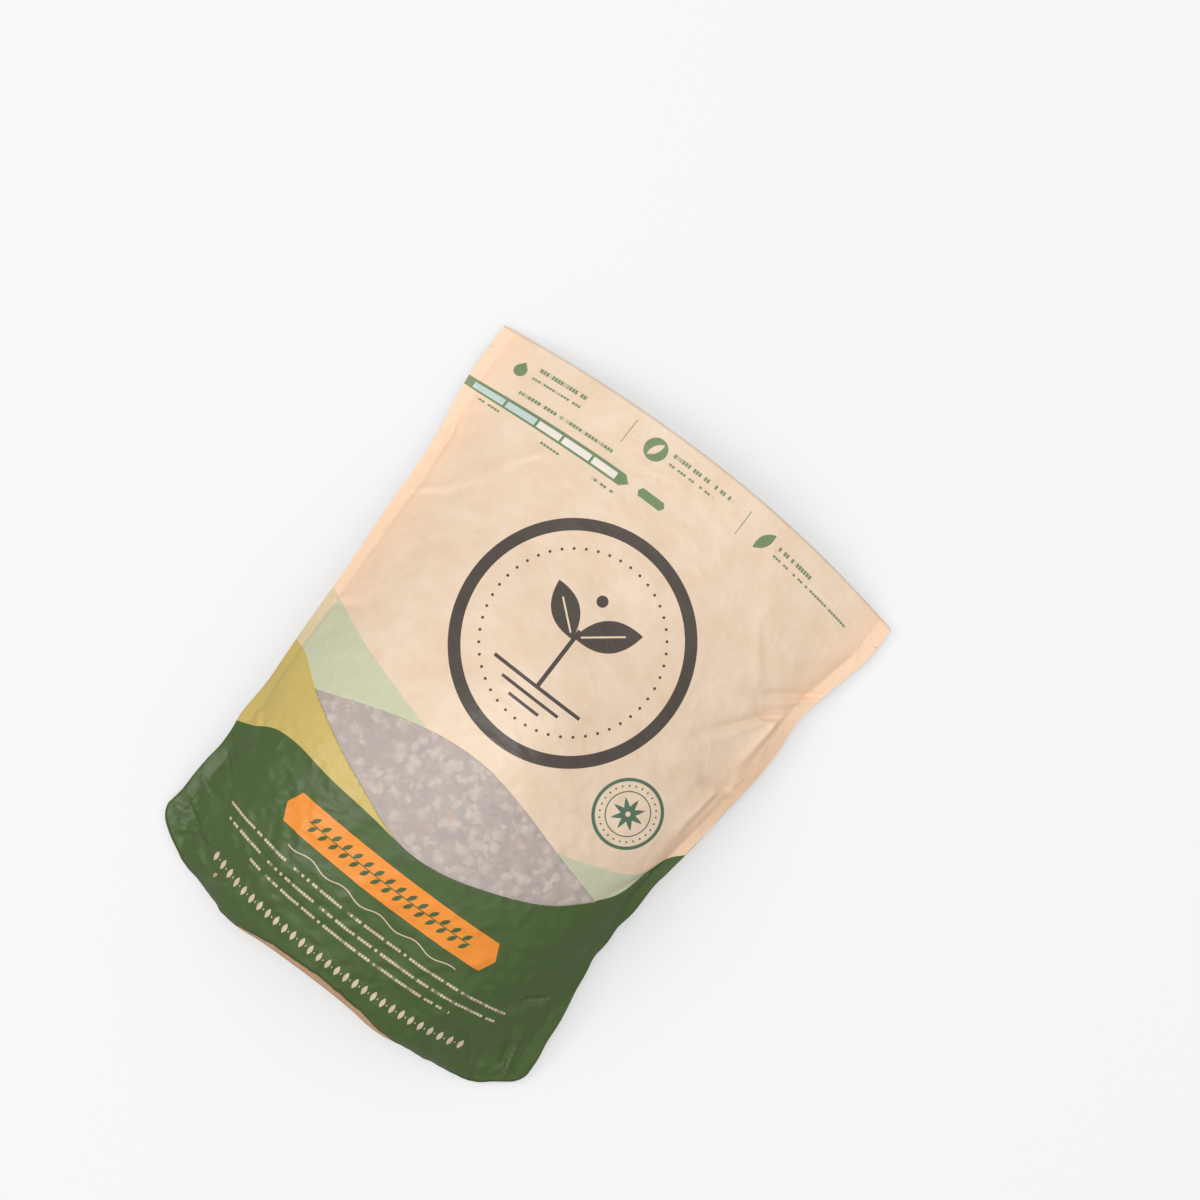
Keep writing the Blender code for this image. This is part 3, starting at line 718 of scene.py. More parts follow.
def make_mix_bed(mix):
    """The body of the mix: a top and an underside, bridged round their edge."""
    columns = np.linspace(-1, 1, 131)
    rows = np.linspace(MIX_FOOT_SHARE, 1 - MIX_TOE_PLACE / SEAM_LENGTH, 121)
    top, column, share = grid_sheet("mix_bed", columns, rows)
    place_vertices(top, mix_top(column * mix_width(share), share, BED_GAP))
    under, column, share = grid_sheet("mix_under", columns[::5], rows[::5])
    across = column * mix_width(share)
    up = normals_of(back_base, across, share)
    place_vertices(under, back_surface(across, share) + up * BED_FLOOR_GAP_IN_MM * MM)
    under.data.flip_normals()
    bpy.ops.object.select_all(action="DESELECT")
    top.select_set(True)
    under.select_set(True)
    bpy.context.view_layer.objects.active = top
    bpy.ops.object.join()
    bpy.ops.object.mode_set(mode="EDIT")
    bpy.ops.mesh.select_mode(type="EDGE")
    bpy.ops.mesh.select_all(action="DESELECT")
    bpy.ops.mesh.select_non_manifold(extend=False)
    bpy.ops.mesh.bridge_edge_loops()
    bpy.ops.mesh.select_all(action="SELECT")
    bpy.ops.mesh.normals_make_consistent(inside=False)
    bpy.ops.object.mode_set(mode="OBJECT")
    return finish(top, "growing_mix", "gritty_mix", mix)


def grain_shapes(stretch, flat, rough, count, seed):
    """A few grains of one kind: round primitives dented, squashed and thinned to a few dozen faces."""
    shapes = []
    for k in range(count):
        bpy.ops.mesh.primitive_ico_sphere_add(subdivisions=2, radius=1)
        grain = bpy.context.object
        for vertex in grain.data.vertices:
            away = noise.noise(vertex.co * 1.1 + Vector((seed + k * 5.1, k, seed)))
            away += 0.5 * noise.noise(vertex.co * 2.6 + Vector((k * 3.3, seed, 4)))
            vertex.co *= 1 + rough * away
            vertex.co.x *= stretch
            vertex.co.z *= flat
        apply_modifier(grain, "DECIMATE", ratio=0.55)
        places = np.array([vertex.co[:] for vertex in grain.data.vertices])
        faces = [list(face.vertices) for face in grain.data.polygons]
        shapes.append((places, faces))
        bpy.data.objects.remove(grain)
    return shapes


def turn_matrix(tilt):
    """A random turn, with the long side kept near the ground."""
    lean = random.gauss(0, tilt)
    roll = random.gauss(0, tilt)
    spin = random.uniform(0, 2 * math.pi)
    from_z = np.array(Matrix.Rotation(spin, 3, "Z"))
    from_y = np.array(Matrix.Rotation(lean, 3, "Y"))
    from_x = np.array(Matrix.Rotation(roll, 3, "X"))
    return from_z @ from_y @ from_x


class Grains:
    """Gathers the grains of one kind into one mesh."""

    def __init__(self, name, shapes, material):
        self.name = name
        self.shapes = shapes
        self.material = material
        self.places = []
        self.faces = []
        self.tones = []
        self.total = 0

    def drop(self, spot, upward, size, tilt, sink):
        """Adds a grain whose top lies sink below a spot on a surface."""
        places, faces = random.choice(self.shapes)
        turned = places @ turn_matrix(tilt).T * size
        reach = (turned @ upward).max()
        self.places.append(turned + spot - upward * (reach + sink))
        tone = random.random()
        for face in faces:
            self.faces.append([corner + self.total for corner in face])
            self.tones.append(tone)
        self.total += len(places)

    def build(self):
        """Makes the mesh, with one tone a grain for the material."""
        mesh = bpy.data.meshes.new(self.name)
        mesh.from_pydata(np.concatenate(self.places), [], self.faces)
        tone = mesh.attributes.new("tone", "FLOAT", "FACE")
        tone.data.foreach_set("value", np.array(self.tones, np.float32))
        piece = bpy.data.objects.new(self.name, mesh)
        bpy.context.scene.collection.objects.link(piece)
        return finish(piece, "growing_mix", "gritty_mix", self.material)


# Places tried for a grain under the window and on the open slope, and where they lie, as shares
WINDOW_GRAINS = 2100
WINDOW_GRAINS_ACROSS = 0.76
WINDOW_GRAINS_ALONG = (0.20, 0.48)
SLOPE_GRAINS = 2600
SLOPE_GRAINS_ACROSS = 0.98
SLOPE_GRAINS_ALONG = (0.56, 1 - 44 * MM / SEAM_LENGTH)

# The slope's upward way, how far a grain's top may lie under the window's film, how far it stands
# out of the slope as a share of its size, and the room that it leaves under the film
SLOPE_UP = np.array((0, 0.515, 0.857))
MOST_SINK_IN_MM = 1.4
STANDING_OUT = (0.5, 1.2)
ROOM_OVER_GRAIN = 1.5 * MM

# Small grains are commoner: 1 would make all sizes equally common
SMALLNESS = 1.8


def scatter_grains(kinds):
    """Grains under the window and on the open slope; each kind has its share for both places."""
    spots = []
    for _ in range(WINDOW_GRAINS):
        across = random.uniform(-WINDOW_GRAINS_ACROSS, WINDOW_GRAINS_ACROSS)
        share = random.uniform(*WINDOW_GRAINS_ALONG)
        spots.append((across, share, True))
    for _ in range(SLOPE_GRAINS):
        share = random.uniform(*SLOPE_GRAINS_ALONG)
        across = random.uniform(-SLOPE_GRAINS_ACROSS, SLOPE_GRAINS_ACROSS)
        spots.append((across * float(mix_width(np.array(share))), share, False))
    across = np.array([spot[0] for spot in spots])
    share = np.array([spot[1] for spot in spots])
    tops = mix_top(across, share, GRAIN_GAP)
    film = front_surface(across, share)[0]
    ups = normals_of(front_base, across, share)
    names = [name for name, *_ in kinds]
    gathered = {name: Grains(name, shapes, material) for name, shapes, material, *_ in kinds}
    for k, (_, _, pressed) in enumerate(spots):
        name = random.choices(names, [kind[3][0 if pressed else 1] for kind in kinds])[0]
        low, high, tilt = next(kind[4:] for kind in kinds if kind[0] == name)
        size = low + (high - low) * random.random() ** SMALLNESS
        if pressed:
            sink = random.uniform(0, MOST_SINK_IN_MM) * MM
            gathered[name].drop(tops[k], ups[k], size * MM, tilt, sink)
        elif film[k][2] - tops[k][2] > 2 * size * MM + ROOM_OVER_GRAIN:
            sink = -size * MM * random.uniform(*STANDING_OUT)
            gathered[name].drop(tops[k], SLOPE_UP, size * MM, tilt, sink)
    for grains in gathered.values():
        if grains.places:
            grains.build()


def add(tree, kind, inputs=(), **settings):
    """Adds a shader node. Inputs are values, sockets or nodes, in order or by socket name."""
    node = tree.nodes.new("ShaderNode" + kind)
    for name, value in settings.items():
        setattr(node, name, value)
    pairs = inputs.items() if isinstance(inputs, dict) else enumerate(inputs)
    for socket, value in pairs:
        if isinstance(value, bpy.types.Node):
            value = value.outputs[0]
        if isinstance(value, bpy.types.NodeSocket):
            tree.links.new(value, node.inputs[socket])
        else:
            node.inputs[socket].default_value = value
    return node


def new_material(name):
    """An empty material with its shader: the tree and the shader node."""
    material = bpy.data.materials.new(name)
    material.use_nodes = True
    tree = material.node_tree
    return material, tree, tree.nodes["Principled BSDF"]


def place_in_mm(tree):
    """The place on the object, in millimetres."""
    spot = add(tree, "TexCoord").outputs["Object"]
    return add(tree, "VectorMath", {0: spot, "Scale": 1000.0}, operation="SCALE").outputs[0]


def local(tree, spot, centre, turn=0):
    """The x and y sockets of a place seen from a centre, turned by degrees."""
    placing = {"Vector": spot, "Location": (*centre, 0), "Rotation": (0, 0, math.radians(turn))}
    moved = add(tree, "Mapping", placing, vector_type="TEXTURE")
    parts = add(tree, "SeparateXYZ", [moved])
    return parts.outputs[0], parts.outputs[1]


def disc(tree, spot, centre, radius):
    """Distance outside a disc."""
    x, y = local(tree, spot, centre)
    flat = add(tree, "CombineXYZ", (x, y, 0.0))
    reach = add(tree, "VectorMath", [flat], operation="LENGTH").outputs["Value"]
    return add(tree, "Math", (reach, radius), operation="SUBTRACT").outputs[0]


def hoop(tree, spot, centre, radius, half_width):
    """Distance outside a ring."""
    edge = add(tree, "Math", [disc(tree, spot, centre, radius)], operation="ABSOLUTE")
    return add(tree, "Math", (edge, half_width), operation="SUBTRACT").outputs[0]


def bar(tree, spot, centre, half_x, half_y, turn=0, slant=0.0):
    """Distance outside a bar; slant cuts its ends to points."""
    x, y = local(tree, spot, centre, turn)
    x = add(tree, "Math", [x], operation="ABSOLUTE")
    y = add(tree, "Math", [y], operation="ABSOLUTE")
    reach = add(tree, "Math", (y, slant, x), operation="MULTIPLY_ADD")
    past_x = add(tree, "Math", (reach, half_x), operation="SUBTRACT")
    past_y = add(tree, "Math", (y, half_y), operation="SUBTRACT")
    return add(tree, "Math", (past_x, past_y), operation="MAXIMUM").outputs[0]


def leaf(tree, spot, centre, half_length, half_width, turn=0):
    """Distance outside a leaf with two pointed ends."""
    x, y = local(tree, spot, centre, turn)
    squared = add(tree, "Math", (x, x), operation="MULTIPLY")
    side = add(tree, "Math", [y], operation="ABSOLUTE")
    bulge = add(tree, "Math", (squared, half_width / half_length ** 2, side), operation="MULTIPLY_ADD")
    return add(tree, "Math", (bulge, half_width), operation="SUBTRACT").outputs[0]


def joined(tree, *shapes):
    """Distance outside all of several shapes."""
    total = shapes[0]
    for shape in shapes[1:]:
        total = add(tree, "Math", (total, shape), operation="MINIMUM").outputs[0]
    return total


def within(tree, *shapes):
    """Distance outside the part that several shapes share."""
    total = shapes[0]
    for shape in shapes[1:]:
        total = add(tree, "Math", (total, shape), operation="MAXIMUM").outputs[0]
    return total


def inverse(tree, shape):
    """Distance inside a shape."""
    return add(tree, "Math", (shape, -1.0), operation="MULTIPLY").outputs[0]


# Half width over which an ink's edge fades, in millimetres
PRINT_EDGE = 0.12


def printed(tree, under, ink, shape, strength=1.0):
    """Prints an ink over a colour wherever a distance is below zero."""
    edge = {"Value": shape, "From Min": -PRINT_EDGE, "From Max": PRINT_EDGE,
            "To Min": strength, "To Max": 0.0}
    mask = add(tree, "MapRange", edge, interpolation_type="SMOOTHSTEP")
    return add(tree, "MixRGB", {"Fac": mask, "Color1": under, "Color2": ink}).outputs[0]


# Share of dashes left out, and half a dash's length as a share of its cell
MISSING_DASHES = 0.2
HALF_DASH = 0.40


def dashes(tree, spot, centre, half_length, half_height, cell, seed):
    """Distance outside a row of short dashes, of which some are missing.

    A row stands where a line of small print would be too fine to show, so it is drawn coarser.
    """
    x, y = local(tree, spot, centre)
    cells = add(tree, "Math", (x, cell), operation="DIVIDE")
    number = add(tree, "Math", [cells], operation="FLOOR")
    seeded = add(tree, "Math", (number, float(seed)), operation="ADD")
    chance = add(tree, "TexWhiteNoise", {"W": seeded}, noise_dimensions="1D")
    missing = add(tree, "Math", (MISSING_DASHES, chance), operation="SUBTRACT")
    part = add(tree, "Math", [cells], operation="FRACT")
    off = add(tree, "Math", (part, 0.5), operation="SUBTRACT")
    apart = add(tree, "Math", [off], operation="ABSOLUTE")
    edge = add(tree, "Math", (apart, HALF_DASH), operation="SUBTRACT")
    dash = within(tree, missing.outputs[0], edge.outputs[0])
    return within(tree, dash, bar(tree, spot, centre, half_length, half_height))


def dotted_hoop(tree, spot, centre, radius, count, dot):
    """Distance outside dots set evenly on a ring."""
    x, y = local(tree, spot, centre)
    angle = add(tree, "Math", (y, x), operation="ARCTAN2")
    step = 2 * math.pi / count
    wrapped = add(tree, "Math", (angle, step / 2, -step / 2), operation="WRAP")
    along = add(tree, "Math", (wrapped, radius), operation="MULTIPLY")
    outward = disc(tree, spot, centre, radius)
    flat = add(tree, "CombineXYZ", (along, outward, 0.0))
    reach = add(tree, "VectorMath", [flat], operation="LENGTH")
    return add(tree, "Math", (reach.outputs["Value"], dot), operation="SUBTRACT").outputs[0]


KRAFT = srgb("#EBD3BA")
# Peach is a painted glow: light shining through the film near the side seals
PEACH_PAINTED_GLOW = srgb("#FBD4B2")
DARK_GREEN = srgb("#4A602F")
OLIVE_YELLOW = srgb("#D1B868")
PALE_GREEN = srgb("#CECFAE")
ORANGE = srgb("#F69532")
SOOT = srgb("#4E443C")
GAUGE_GREEN = srgb("#748A60")
SEAL_GREEN = srgb("#55725A")
CELL_WHITE = srgb("#EFE6DA")
CELL_AQUA = srgb("#C3D6CF")
PALE_SCORE = srgb("#F1E2D0")
# A painted glow: the pale green warmed to tan over the left seal band, for light through the film there
SEAL_BAND_PAINTED_GLOW = srgb("#E3CDA4")
RUBBED_PALE = srgb("#D9D2C6")


def vine(tree, spot, centre, half_length, pitch):
    """Distance outside a stem with a leaf up and a leaf down at each pitch."""
    x, y = local(tree, spot, centre)
    wrapped = add(tree, "Math", (x, pitch / 2, -pitch / 2), operation="WRAP")
    cell = add(tree, "CombineXYZ", (wrapped, y, 0.0)).outputs[0]
    upper = leaf(tree, cell, (-0.4, 2.3), 2.9, 1.15, 52)
    lower = leaf(tree, cell, (0.4, -2.3), 2.9, 1.15, 52)
    stem = bar(tree, cell, (0, 0), pitch, 0.28)
    return within(tree, joined(tree, upper, lower, stem), bar(tree, spot, centre, half_length, 5))


def buds(tree, spot, centre, half_length, pitch):
    """Distance outside a row of upright leaves with a dot between each two."""
    x, y = local(tree, spot, centre)
    wrapped = add(tree, "Math", (x, pitch / 2, -pitch / 2), operation="WRAP")
    cell = add(tree, "CombineXYZ", (wrapped, y, 0.0)).outputs[0]
    upright = leaf(tree, cell, (0, 0), 3.0, 1.15, 90)
    row = joined(tree, upright, disc(tree, cell, (pitch / 2 - 0.01, 0), 0.55))
    return within(tree, row, bar(tree, spot, centre, half_length, 4))


# Places of the print, in millimetres
BADGE = (-1.2, 51.8)
SEAL = (71.5, 1.3)
LOZENGE = (0, -95.3)
WAVE = (0, -110.8)
WAVE_PITCH = 21.5
BUD_ROW = (0, -146.2)
GAUGE_Y = 130.6
CELLS_Y = 130.4
CELL_WALLS = (-102, -83, -68, -50)
SCORE_LINE = (94.4, 145.8)
DROP = (-106.5, 149.5)
ROUND_ICON = (-27.4, 153)
LEAF_ICON = (43.8, 151)

# The green on the back: how its upper edge slants, and how far below the middle it lies there
BACK_EDGE_SLANT = -0.39
BACK_EDGE_DROP = 41.5

# Rows of dashes as (centre, half length, half height, pitch, seed), in millimetres
TEXT_ROWS = (((-1, -118.6), 86, 0.75, 1.7, 3), ((0, -125.6), 83, 0.75, 1.7, 11),
             ((0, -132), 62, 0.75, 1.7, 29))
LABEL_ROWS = (((-72, 139.4), 28, 0.9, 1.9, 41), ((-109, 124), 7, 0.7, 1.9, 5),
              ((-70, 122.5), 6, 0.7, 1.9, 8), ((-39, 122.5), 8, 0.7, 1.9, 2),
              ((-84.5, 154.5), 14, 1.1, 1.7, 51), ((0.5, 156), 19, 1.1, 1.7, 61),
              ((62, 153.2), 12, 1.1, 1.7, 71), ((-84, 149), 15, 0.6, 1.7, 52),
              ((-4, 151), 14, 0.6, 1.7, 62), ((77, 148.5), 26, 0.6, 1.7, 72))


def print_badge(tree, colour, spot):
    """A ring with a two-leaf sprout over lines of ground."""
    ring = hoop(tree, spot, BADGE, 58.1, 3.15)
    dots = dotted_hoop(tree, spot, BADGE, 46, 48, 0.75)
    stem = bar(tree, spot, (-2, 41), 1.1, 17)
    left_leaf = leaf(tree, spot, (-14, 62), 15, 7, 140)
    right_leaf = leaf(tree, spot, (11, 64), 17, 8, 38)
    bud = disc(tree, spot, (-2, 76), 3.0)
    ground = [bar(tree, spot, *line) for line in (
        ((-2, 24), 26, 0.9), ((-2, 18.5), 17, 0.8), ((-2, 13.5), 9, 0.8))]
    left_vein = bar(tree, spot, (-12, 60.3), 9, 0.45, 140)
    right_vein = bar(tree, spot, (9, 62.4), 11, 0.45, 38)
    veins = joined(tree, left_vein, right_vein)
    leaves = within(tree, joined(tree, left_leaf, right_leaf), inverse(tree, veins))
    return printed(tree, colour, SOOT, joined(tree, ring, dots, stem, leaves, bud, *ground))


def print_seal(tree, colour, spot):
    """A small seal: an eight-pointed flower in two rings, with dots between them."""
    petals = [leaf(tree, spot, SEAL, 8.6, 1.7, turn) for turn in (0, 45, 90, 135)]
    flower = within(tree, joined(tree, *petals), inverse(tree, disc(tree, spot, SEAL, 1.3)))
    outer = hoop(tree, spot, SEAL, 17.1, 0.85)
    inner = hoop(tree, spot, SEAL, 11.2, 0.3)
    dots = dotted_hoop(tree, spot, SEAL, 14.0, 26, 0.5)
    return printed(tree, colour, SEAL_GREEN, joined(tree, flower, outer, inner, dots))


def print_label(tree, colour, spot):
    """The green field's print: a lozenge with a vine, a wavy line, rows of dashes and of buds."""
    lozenge = bar(tree, spot, LOZENGE, 64.2, 8.8, slant=0.45)
    colour = printed(tree, colour, ORANGE, lozenge)
    colour = printed(tree, colour, DARK_GREEN, vine(tree, spot, LOZENGE, 49.5, 6.6))
    x, y = local(tree, spot, WAVE)
    swing = add(tree, "Math", (x, 2 * math.pi / WAVE_PITCH), operation="MULTIPLY")
    wave = add(tree, "Math", [swing], operation="SINE")
    off = add(tree, "Math", (wave, -1.1, y), operation="MULTIPLY_ADD")
    line = add(tree, "Math", [off], operation="ABSOLUTE")
    thin = add(tree, "Math", (line, 0.3), operation="SUBTRACT").outputs[0]
    wavy = within(tree, thin, bar(tree, spot, WAVE, 51, 4))
    rows = [dashes(tree, spot, *row) for row in TEXT_ROWS]
    pale = joined(tree, wavy, *rows, buds(tree, spot, BUD_ROW, 78.6, 5.5))
    return printed(tree, colour, KRAFT, pale, strength=0.85)


def print_top(tree, colour, spot):
    """The print at the mouth: a gauge of five cells, three icons, dividers and rows of dashes."""
    gauge = joined(tree, bar(tree, spot, (-82, GAUGE_Y), 49, 3.4),
                   bar(tree, spot, (-35, GAUGE_Y), 7.4, 3.4, slant=1.1))
    walls = [inverse(tree, bar(tree, spot, (place, CELLS_Y), 0.7, 4)) for place in CELL_WALLS]
    cells = within(tree, bar(tree, spot, (-78, CELLS_Y), 43, 1.9), *walls)
    wet = within(tree, cells, bar(tree, spot, (-104, CELLS_Y), 21, 3))
    for ink, shape in ((GAUGE_GREEN, gauge), (CELL_WHITE, cells), (CELL_AQUA, wet)):
        colour = printed(tree, colour, ink, shape)
    rows = [dashes(tree, spot, *row) for row in LABEL_ROWS]
    tag = bar(tree, spot, (-14, 131.2), 8, 2.4, slant=0.6)
    dividers = [bar(tree, spot, centre, 0.22, 7.2) for centre in ((-43.7, 153), (29.6, 151))]
    tip = bar(tree, spot, (DROP[0], DROP[1] + 2.4), 1.7, 1.7, 45)
    drop = joined(tree, disc(tree, spot, DROP, 3.4), tip)
    hollow = inverse(tree, leaf(tree, spot, ROUND_ICON, 5, 1.8, 60))
    icon = within(tree, disc(tree, spot, ROUND_ICON, 6.2), hollow)
    leaf_icon = leaf(tree, spot, LEAF_ICON, 7, 2.8, 62)
    small = joined(tree, *rows, tag, *dividers, drop, icon, leaf_icon)
    return printed(tree, colour, GAUGE_GREEN, small)


def film_bump(tree, spot, shader, grit_mask):
    """Fine unevenness of film: orange peel, dents, soft folds and the grit pressing from inside."""
    peel = add(tree, "TexNoise", {"Vector": spot, "Scale": 0.9, "Detail": 3.0, "Roughness": 0.6})
    dents = add(tree, "TexNoise", {"Vector": spot, "Scale": 0.10, "Detail": 4.0, "Roughness": 0.55,
                                   "Distortion": 0.8})
    fold = add(tree, "TexNoise", {"Vector": spot, "Scale": 0.04, "Detail": 1.0, "Roughness": 0.5,
                                  "Distortion": 0.5})
    off = add(tree, "Math", (fold.outputs["Fac"], 0.5), operation="SUBTRACT")
    crease = add(tree, "Math", [add(tree, "Math", [off], operation="ABSOLUTE")], operation="SQRT")
    grit = add(tree, "TexVoronoi", {"Vector": spot, "Scale": 0.16}, feature="SMOOTH_F1")
    pressed = add(tree, "Math", (grit.outputs["Distance"], grit_mask), operation="MULTIPLY")
    total = add(tree, "Math", (peel.outputs["Fac"], 0.05, pressed), operation="MULTIPLY_ADD")
    total = add(tree, "Math", (dents.outputs["Fac"], 1.0, total), operation="MULTIPLY_ADD")
    total = add(tree, "Math", (crease, -1.0, total), operation="MULTIPLY_ADD")
    bump = add(tree, "Bump", {"Height": total, "Strength": 0.35, "Distance": 1.2 * MM})
    tree.links.new(bump.outputs[0], shader.inputs["Normal"])


# The left seal's inner edge on the film's own coordinate, and about how many millimetres that
# coordinate stands for
LEFT_SEAL_EDGE = 0.25
FILM_LENGTH_IN_MM = 400.0


def kraft_film(front):
    """Satin polyester over a barrier laminate, printed kraft tan and green: soft broad highlights."""
    name = "printed_laminate_front" if front else "printed_laminate_back"
    material, tree, shader = new_material(name)
    spot = place_in_mm(tree)
    mottle = add(tree, "TexNoise", {"Vector": spot, "Scale": 0.05, "Detail": 5.0, "Roughness": 0.6})
    blotch = add(tree, "MapRange", {"Value": mottle.outputs["Fac"], "From Min": 0.35, "From Max": 0.65})
    tans = {"Fac": blotch, "Color1": srgb("#EACFB2"), "Color2": srgb("#F1D9C0")}
    colour = add(tree, "MixRGB", tans).outputs[0]
    uv = add(tree, "SeparateXYZ", [add(tree, "UVMap", uv_map="film")])
    off = add(tree, "Math", (uv.outputs[0], 0.5), operation="SUBTRACT")
    outward = add(tree, "Math", [off], operation="ABSOLUTE")
    # Towards the side seals the tan turns peach: a painted glow for light that shines through the film
    # where nothing lies behind it
    painted_glow_range = {"Value": outward, "From Min": 0.15, "From Max": 0.235, "To Max": 0.85}
    painted_glow = add(tree, "MapRange", painted_glow_range, interpolation_type="SMOOTHSTEP")
    colour = add(tree, "MixRGB", {"Fac": painted_glow, "Color1": colour, "Color2": PEACH_PAINTED_GLOW}).outputs[0]
    if front:
        pale = add(tree, "Attribute", attribute_name="pale_field").outputs["Fac"]
        olive = add(tree, "Attribute", attribute_name="olive_field").outputs["Fac"]
        dark = add(tree, "Attribute", attribute_name="dark_field").outputs["Fac"]
        band = add(tree, "Math", (uv.outputs[0], LEFT_SEAL_EDGE), operation="SUBTRACT").outputs[0]
        band = add(tree, "Math", (band, FILM_LENGTH_IN_MM), operation="MULTIPLY").outputs[0]
        colour = printed(tree, colour, PALE_GREEN, pale)
        # Over the left seal band the pale green is painted tan: a painted glow of light through the film
        # there
        colour = printed(tree, colour, SEAL_BAND_PAINTED_GLOW, within(tree, pale, band))
        colour = printed(tree, colour, OLIVE_YELLOW, olive)
        colour = printed(tree, colour, DARK_GREEN, dark)
        on_print = add(tree, "Attribute", attribute_name="print_place").outputs["Vector"]
        for print_part in (print_badge, print_seal, print_label, print_top):
            colour = print_part(tree, colour, on_print)
        colour = printed(tree, colour, PALE_SCORE, bar(tree, spot, SCORE_LINE, 20, 0.16))
        rub = add(tree, "Attribute", attribute_name="rub").outputs["Fac"]
        flecks = add(tree, "TexNoise", {"Vector": spot, "Scale": 0.8, "Detail": 4.0, "Roughness": 0.7})
        chips = {"Value": flecks.outputs["Fac"], "From Min": 0.45, "From Max": 0.62}
        chipped = add(tree, "MapRange", chips)
        worn = add(tree, "Math", (rub, chipped), operation="MULTIPLY")
        worn = add(tree, "Math", (worn, 0.6), operation="MULTIPLY")
        rubbed = {"Fac": worn, "Color1": colour, "Color2": RUBBED_PALE}
        colour = add(tree, "MixRGB", rubbed).outputs[0]
    else:
        parts = add(tree, "SeparateXYZ", [spot])
        slanted = (parts.outputs[0], BACK_EDGE_SLANT, parts.outputs[1])
        above = add(tree, "Math", slanted, operation="MULTIPLY_ADD")
        edge = add(tree, "Math", (above, BACK_EDGE_DROP), operation="ADD").outputs[0]
        colour = printed(tree, colour, DARK_GREEN, edge)
    tree.links.new(colour, shader.inputs["Base Color"])
    gloss = add(tree, "MapRange", {"Value": mottle.outputs["Fac"], "From Min": 0.3, "From Max": 0.7,
                                   "To Min": 0.31, "To Max": 0.42})
    tree.links.new(gloss.outputs[0], shader.inputs["Roughness"])
    shader.inputs["IOR"].default_value = 1.5
    low = add(tree, "SeparateXYZ", [spot]).outputs[1]
    full = add(tree, "MapRange", {"Value": low, "From Min": 20.0, "From Max": -60.0, "To Max": 0.35})
    film_bump(tree, spot, shader, full.outputs[0])
    return material


def plain_film(name, code, roughness):
    """Unprinted film: one soft tan with faint clouding and fine dents."""
    material, tree, shader = new_material(name)
    spot = place_in_mm(tree)
    cloud = add(tree, "TexNoise", {"Vector": spot, "Scale": 0.06, "Detail": 4.0, "Roughness": 0.6})
    light = [min(1.0, c * 1.10) for c in srgb(code)[:3]] + [1.0]
    colour = add(tree, "MixRGB", {"Fac": cloud.outputs["Fac"], "Color1": srgb(code), "Color2": light})
    tree.links.new(colour.outputs[0], shader.inputs["Base Color"])
    shader.inputs["Roughness"].default_value = roughness
    film_bump(tree, spot, shader, 0.1)
    return material


def hazy_film():
    """Clear polyethylene, dusty inside: milky and lavender grey, with the grains showing through."""
    material, tree, shader = new_material("dusty_clear_polyethylene")
    spot = place_in_mm(tree)
    dust = add(tree, "TexNoise", {"Vector": spot, "Scale": 0.12, "Detail": 5.0, "Roughness": 0.65})
    milky = {"Fac": dust.outputs["Fac"], "Color1": srgb("#E9DBD3"), "Color2": srgb("#F4E9E2")}
    colour = add(tree, "MixRGB", milky)
    tree.links.new(colour.outputs[0], shader.inputs["Base Color"])
    shader.inputs["Roughness"].default_value = 0.38
    shader.inputs["Alpha"].default_value = 0.35
    film_bump(tree, spot, shader, 0.5)
    return material


def fill_ramp(ramp, stops):
    """Gives a colour ramp its (position, colour code) stops."""
    elements = ramp.color_ramp.elements
    for element, (position, code) in zip(elements, (stops[0], stops[-1])):
        element.position = position
        element.color = srgb(code)
    for position, code in stops[1:-1]:
        elements.new(position).color = srgb(code)


def grain_material(name, codes, pore, depth):
    """A dusty mineral or bark grain: each has its own tone, with darker flecks and fine pores.

    pore is the distance between pores, and depth how deep they look, both in millimetres.
    """
    material, tree, shader = new_material(name)
    spot = place_in_mm(tree)
    tone = add(tree, "Attribute", attribute_name="tone").outputs["Fac"]
    ramp = add(tree, "ValToRGB", [tone])
    fill_ramp(ramp, [(k / (len(codes) - 1), code) for k, code in enumerate(codes)])
    fleck = add(tree, "TexNoise", {"Vector": spot, "Scale": 1.3 / pore, "Detail": 3.0, "Roughness": 0.7})
    shade = add(tree, "MapRange", {"Value": fleck.outputs["Fac"], "From Min": 0.3, "From Max": 0.7,
                                   "To Min": 0.72, "To Max": 1.1})
    colour = add(tree, "VectorMath", {0: ramp, "Scale": shade.outputs[0]}, operation="SCALE")
    tree.links.new(colour.outputs[0], shader.inputs["Base Color"])
    shader.inputs["Roughness"].default_value = 0.92
    holes = add(tree, "TexVoronoi", {"Vector": spot, "Scale": 1.0 / pore})
    pits = {"Height": holes.outputs["Distance"], "Strength": 0.7, "Distance": depth * MM}
    bump = add(tree, "Bump", pits)
    tree.links.new(bump.outputs[0], shader.inputs["Normal"])
    return material


def bed_material():
    """The fines between the grains: orange and brown crumbs 1 to 2 mm across."""
    material, tree, shader = new_material("pumice_and_clay_fines")
    spot = place_in_mm(tree)
    crumbs = add(tree, "TexVoronoi", {"Vector": spot, "Scale": 0.55})
    ramp = add(tree, "ValToRGB", [crumbs.outputs["Color"]])
    fill_ramp(ramp, ((0.2, "#6E5846"), (0.45, "#A67C58"), (0.65, "#C39A73"), (0.85, "#D5C0A6")))
    tree.links.new(ramp.outputs[0], shader.inputs["Base Color"])
    shader.inputs["Roughness"].default_value = 0.95
    crumb = {"Height": crumbs.outputs["Distance"], "Strength": 1.0, "Distance": 1.2 * MM}
    bump = add(tree, "Bump", crumb, invert=True)
    tree.links.new(bump.outputs[0], shader.inputs["Normal"])
    return material


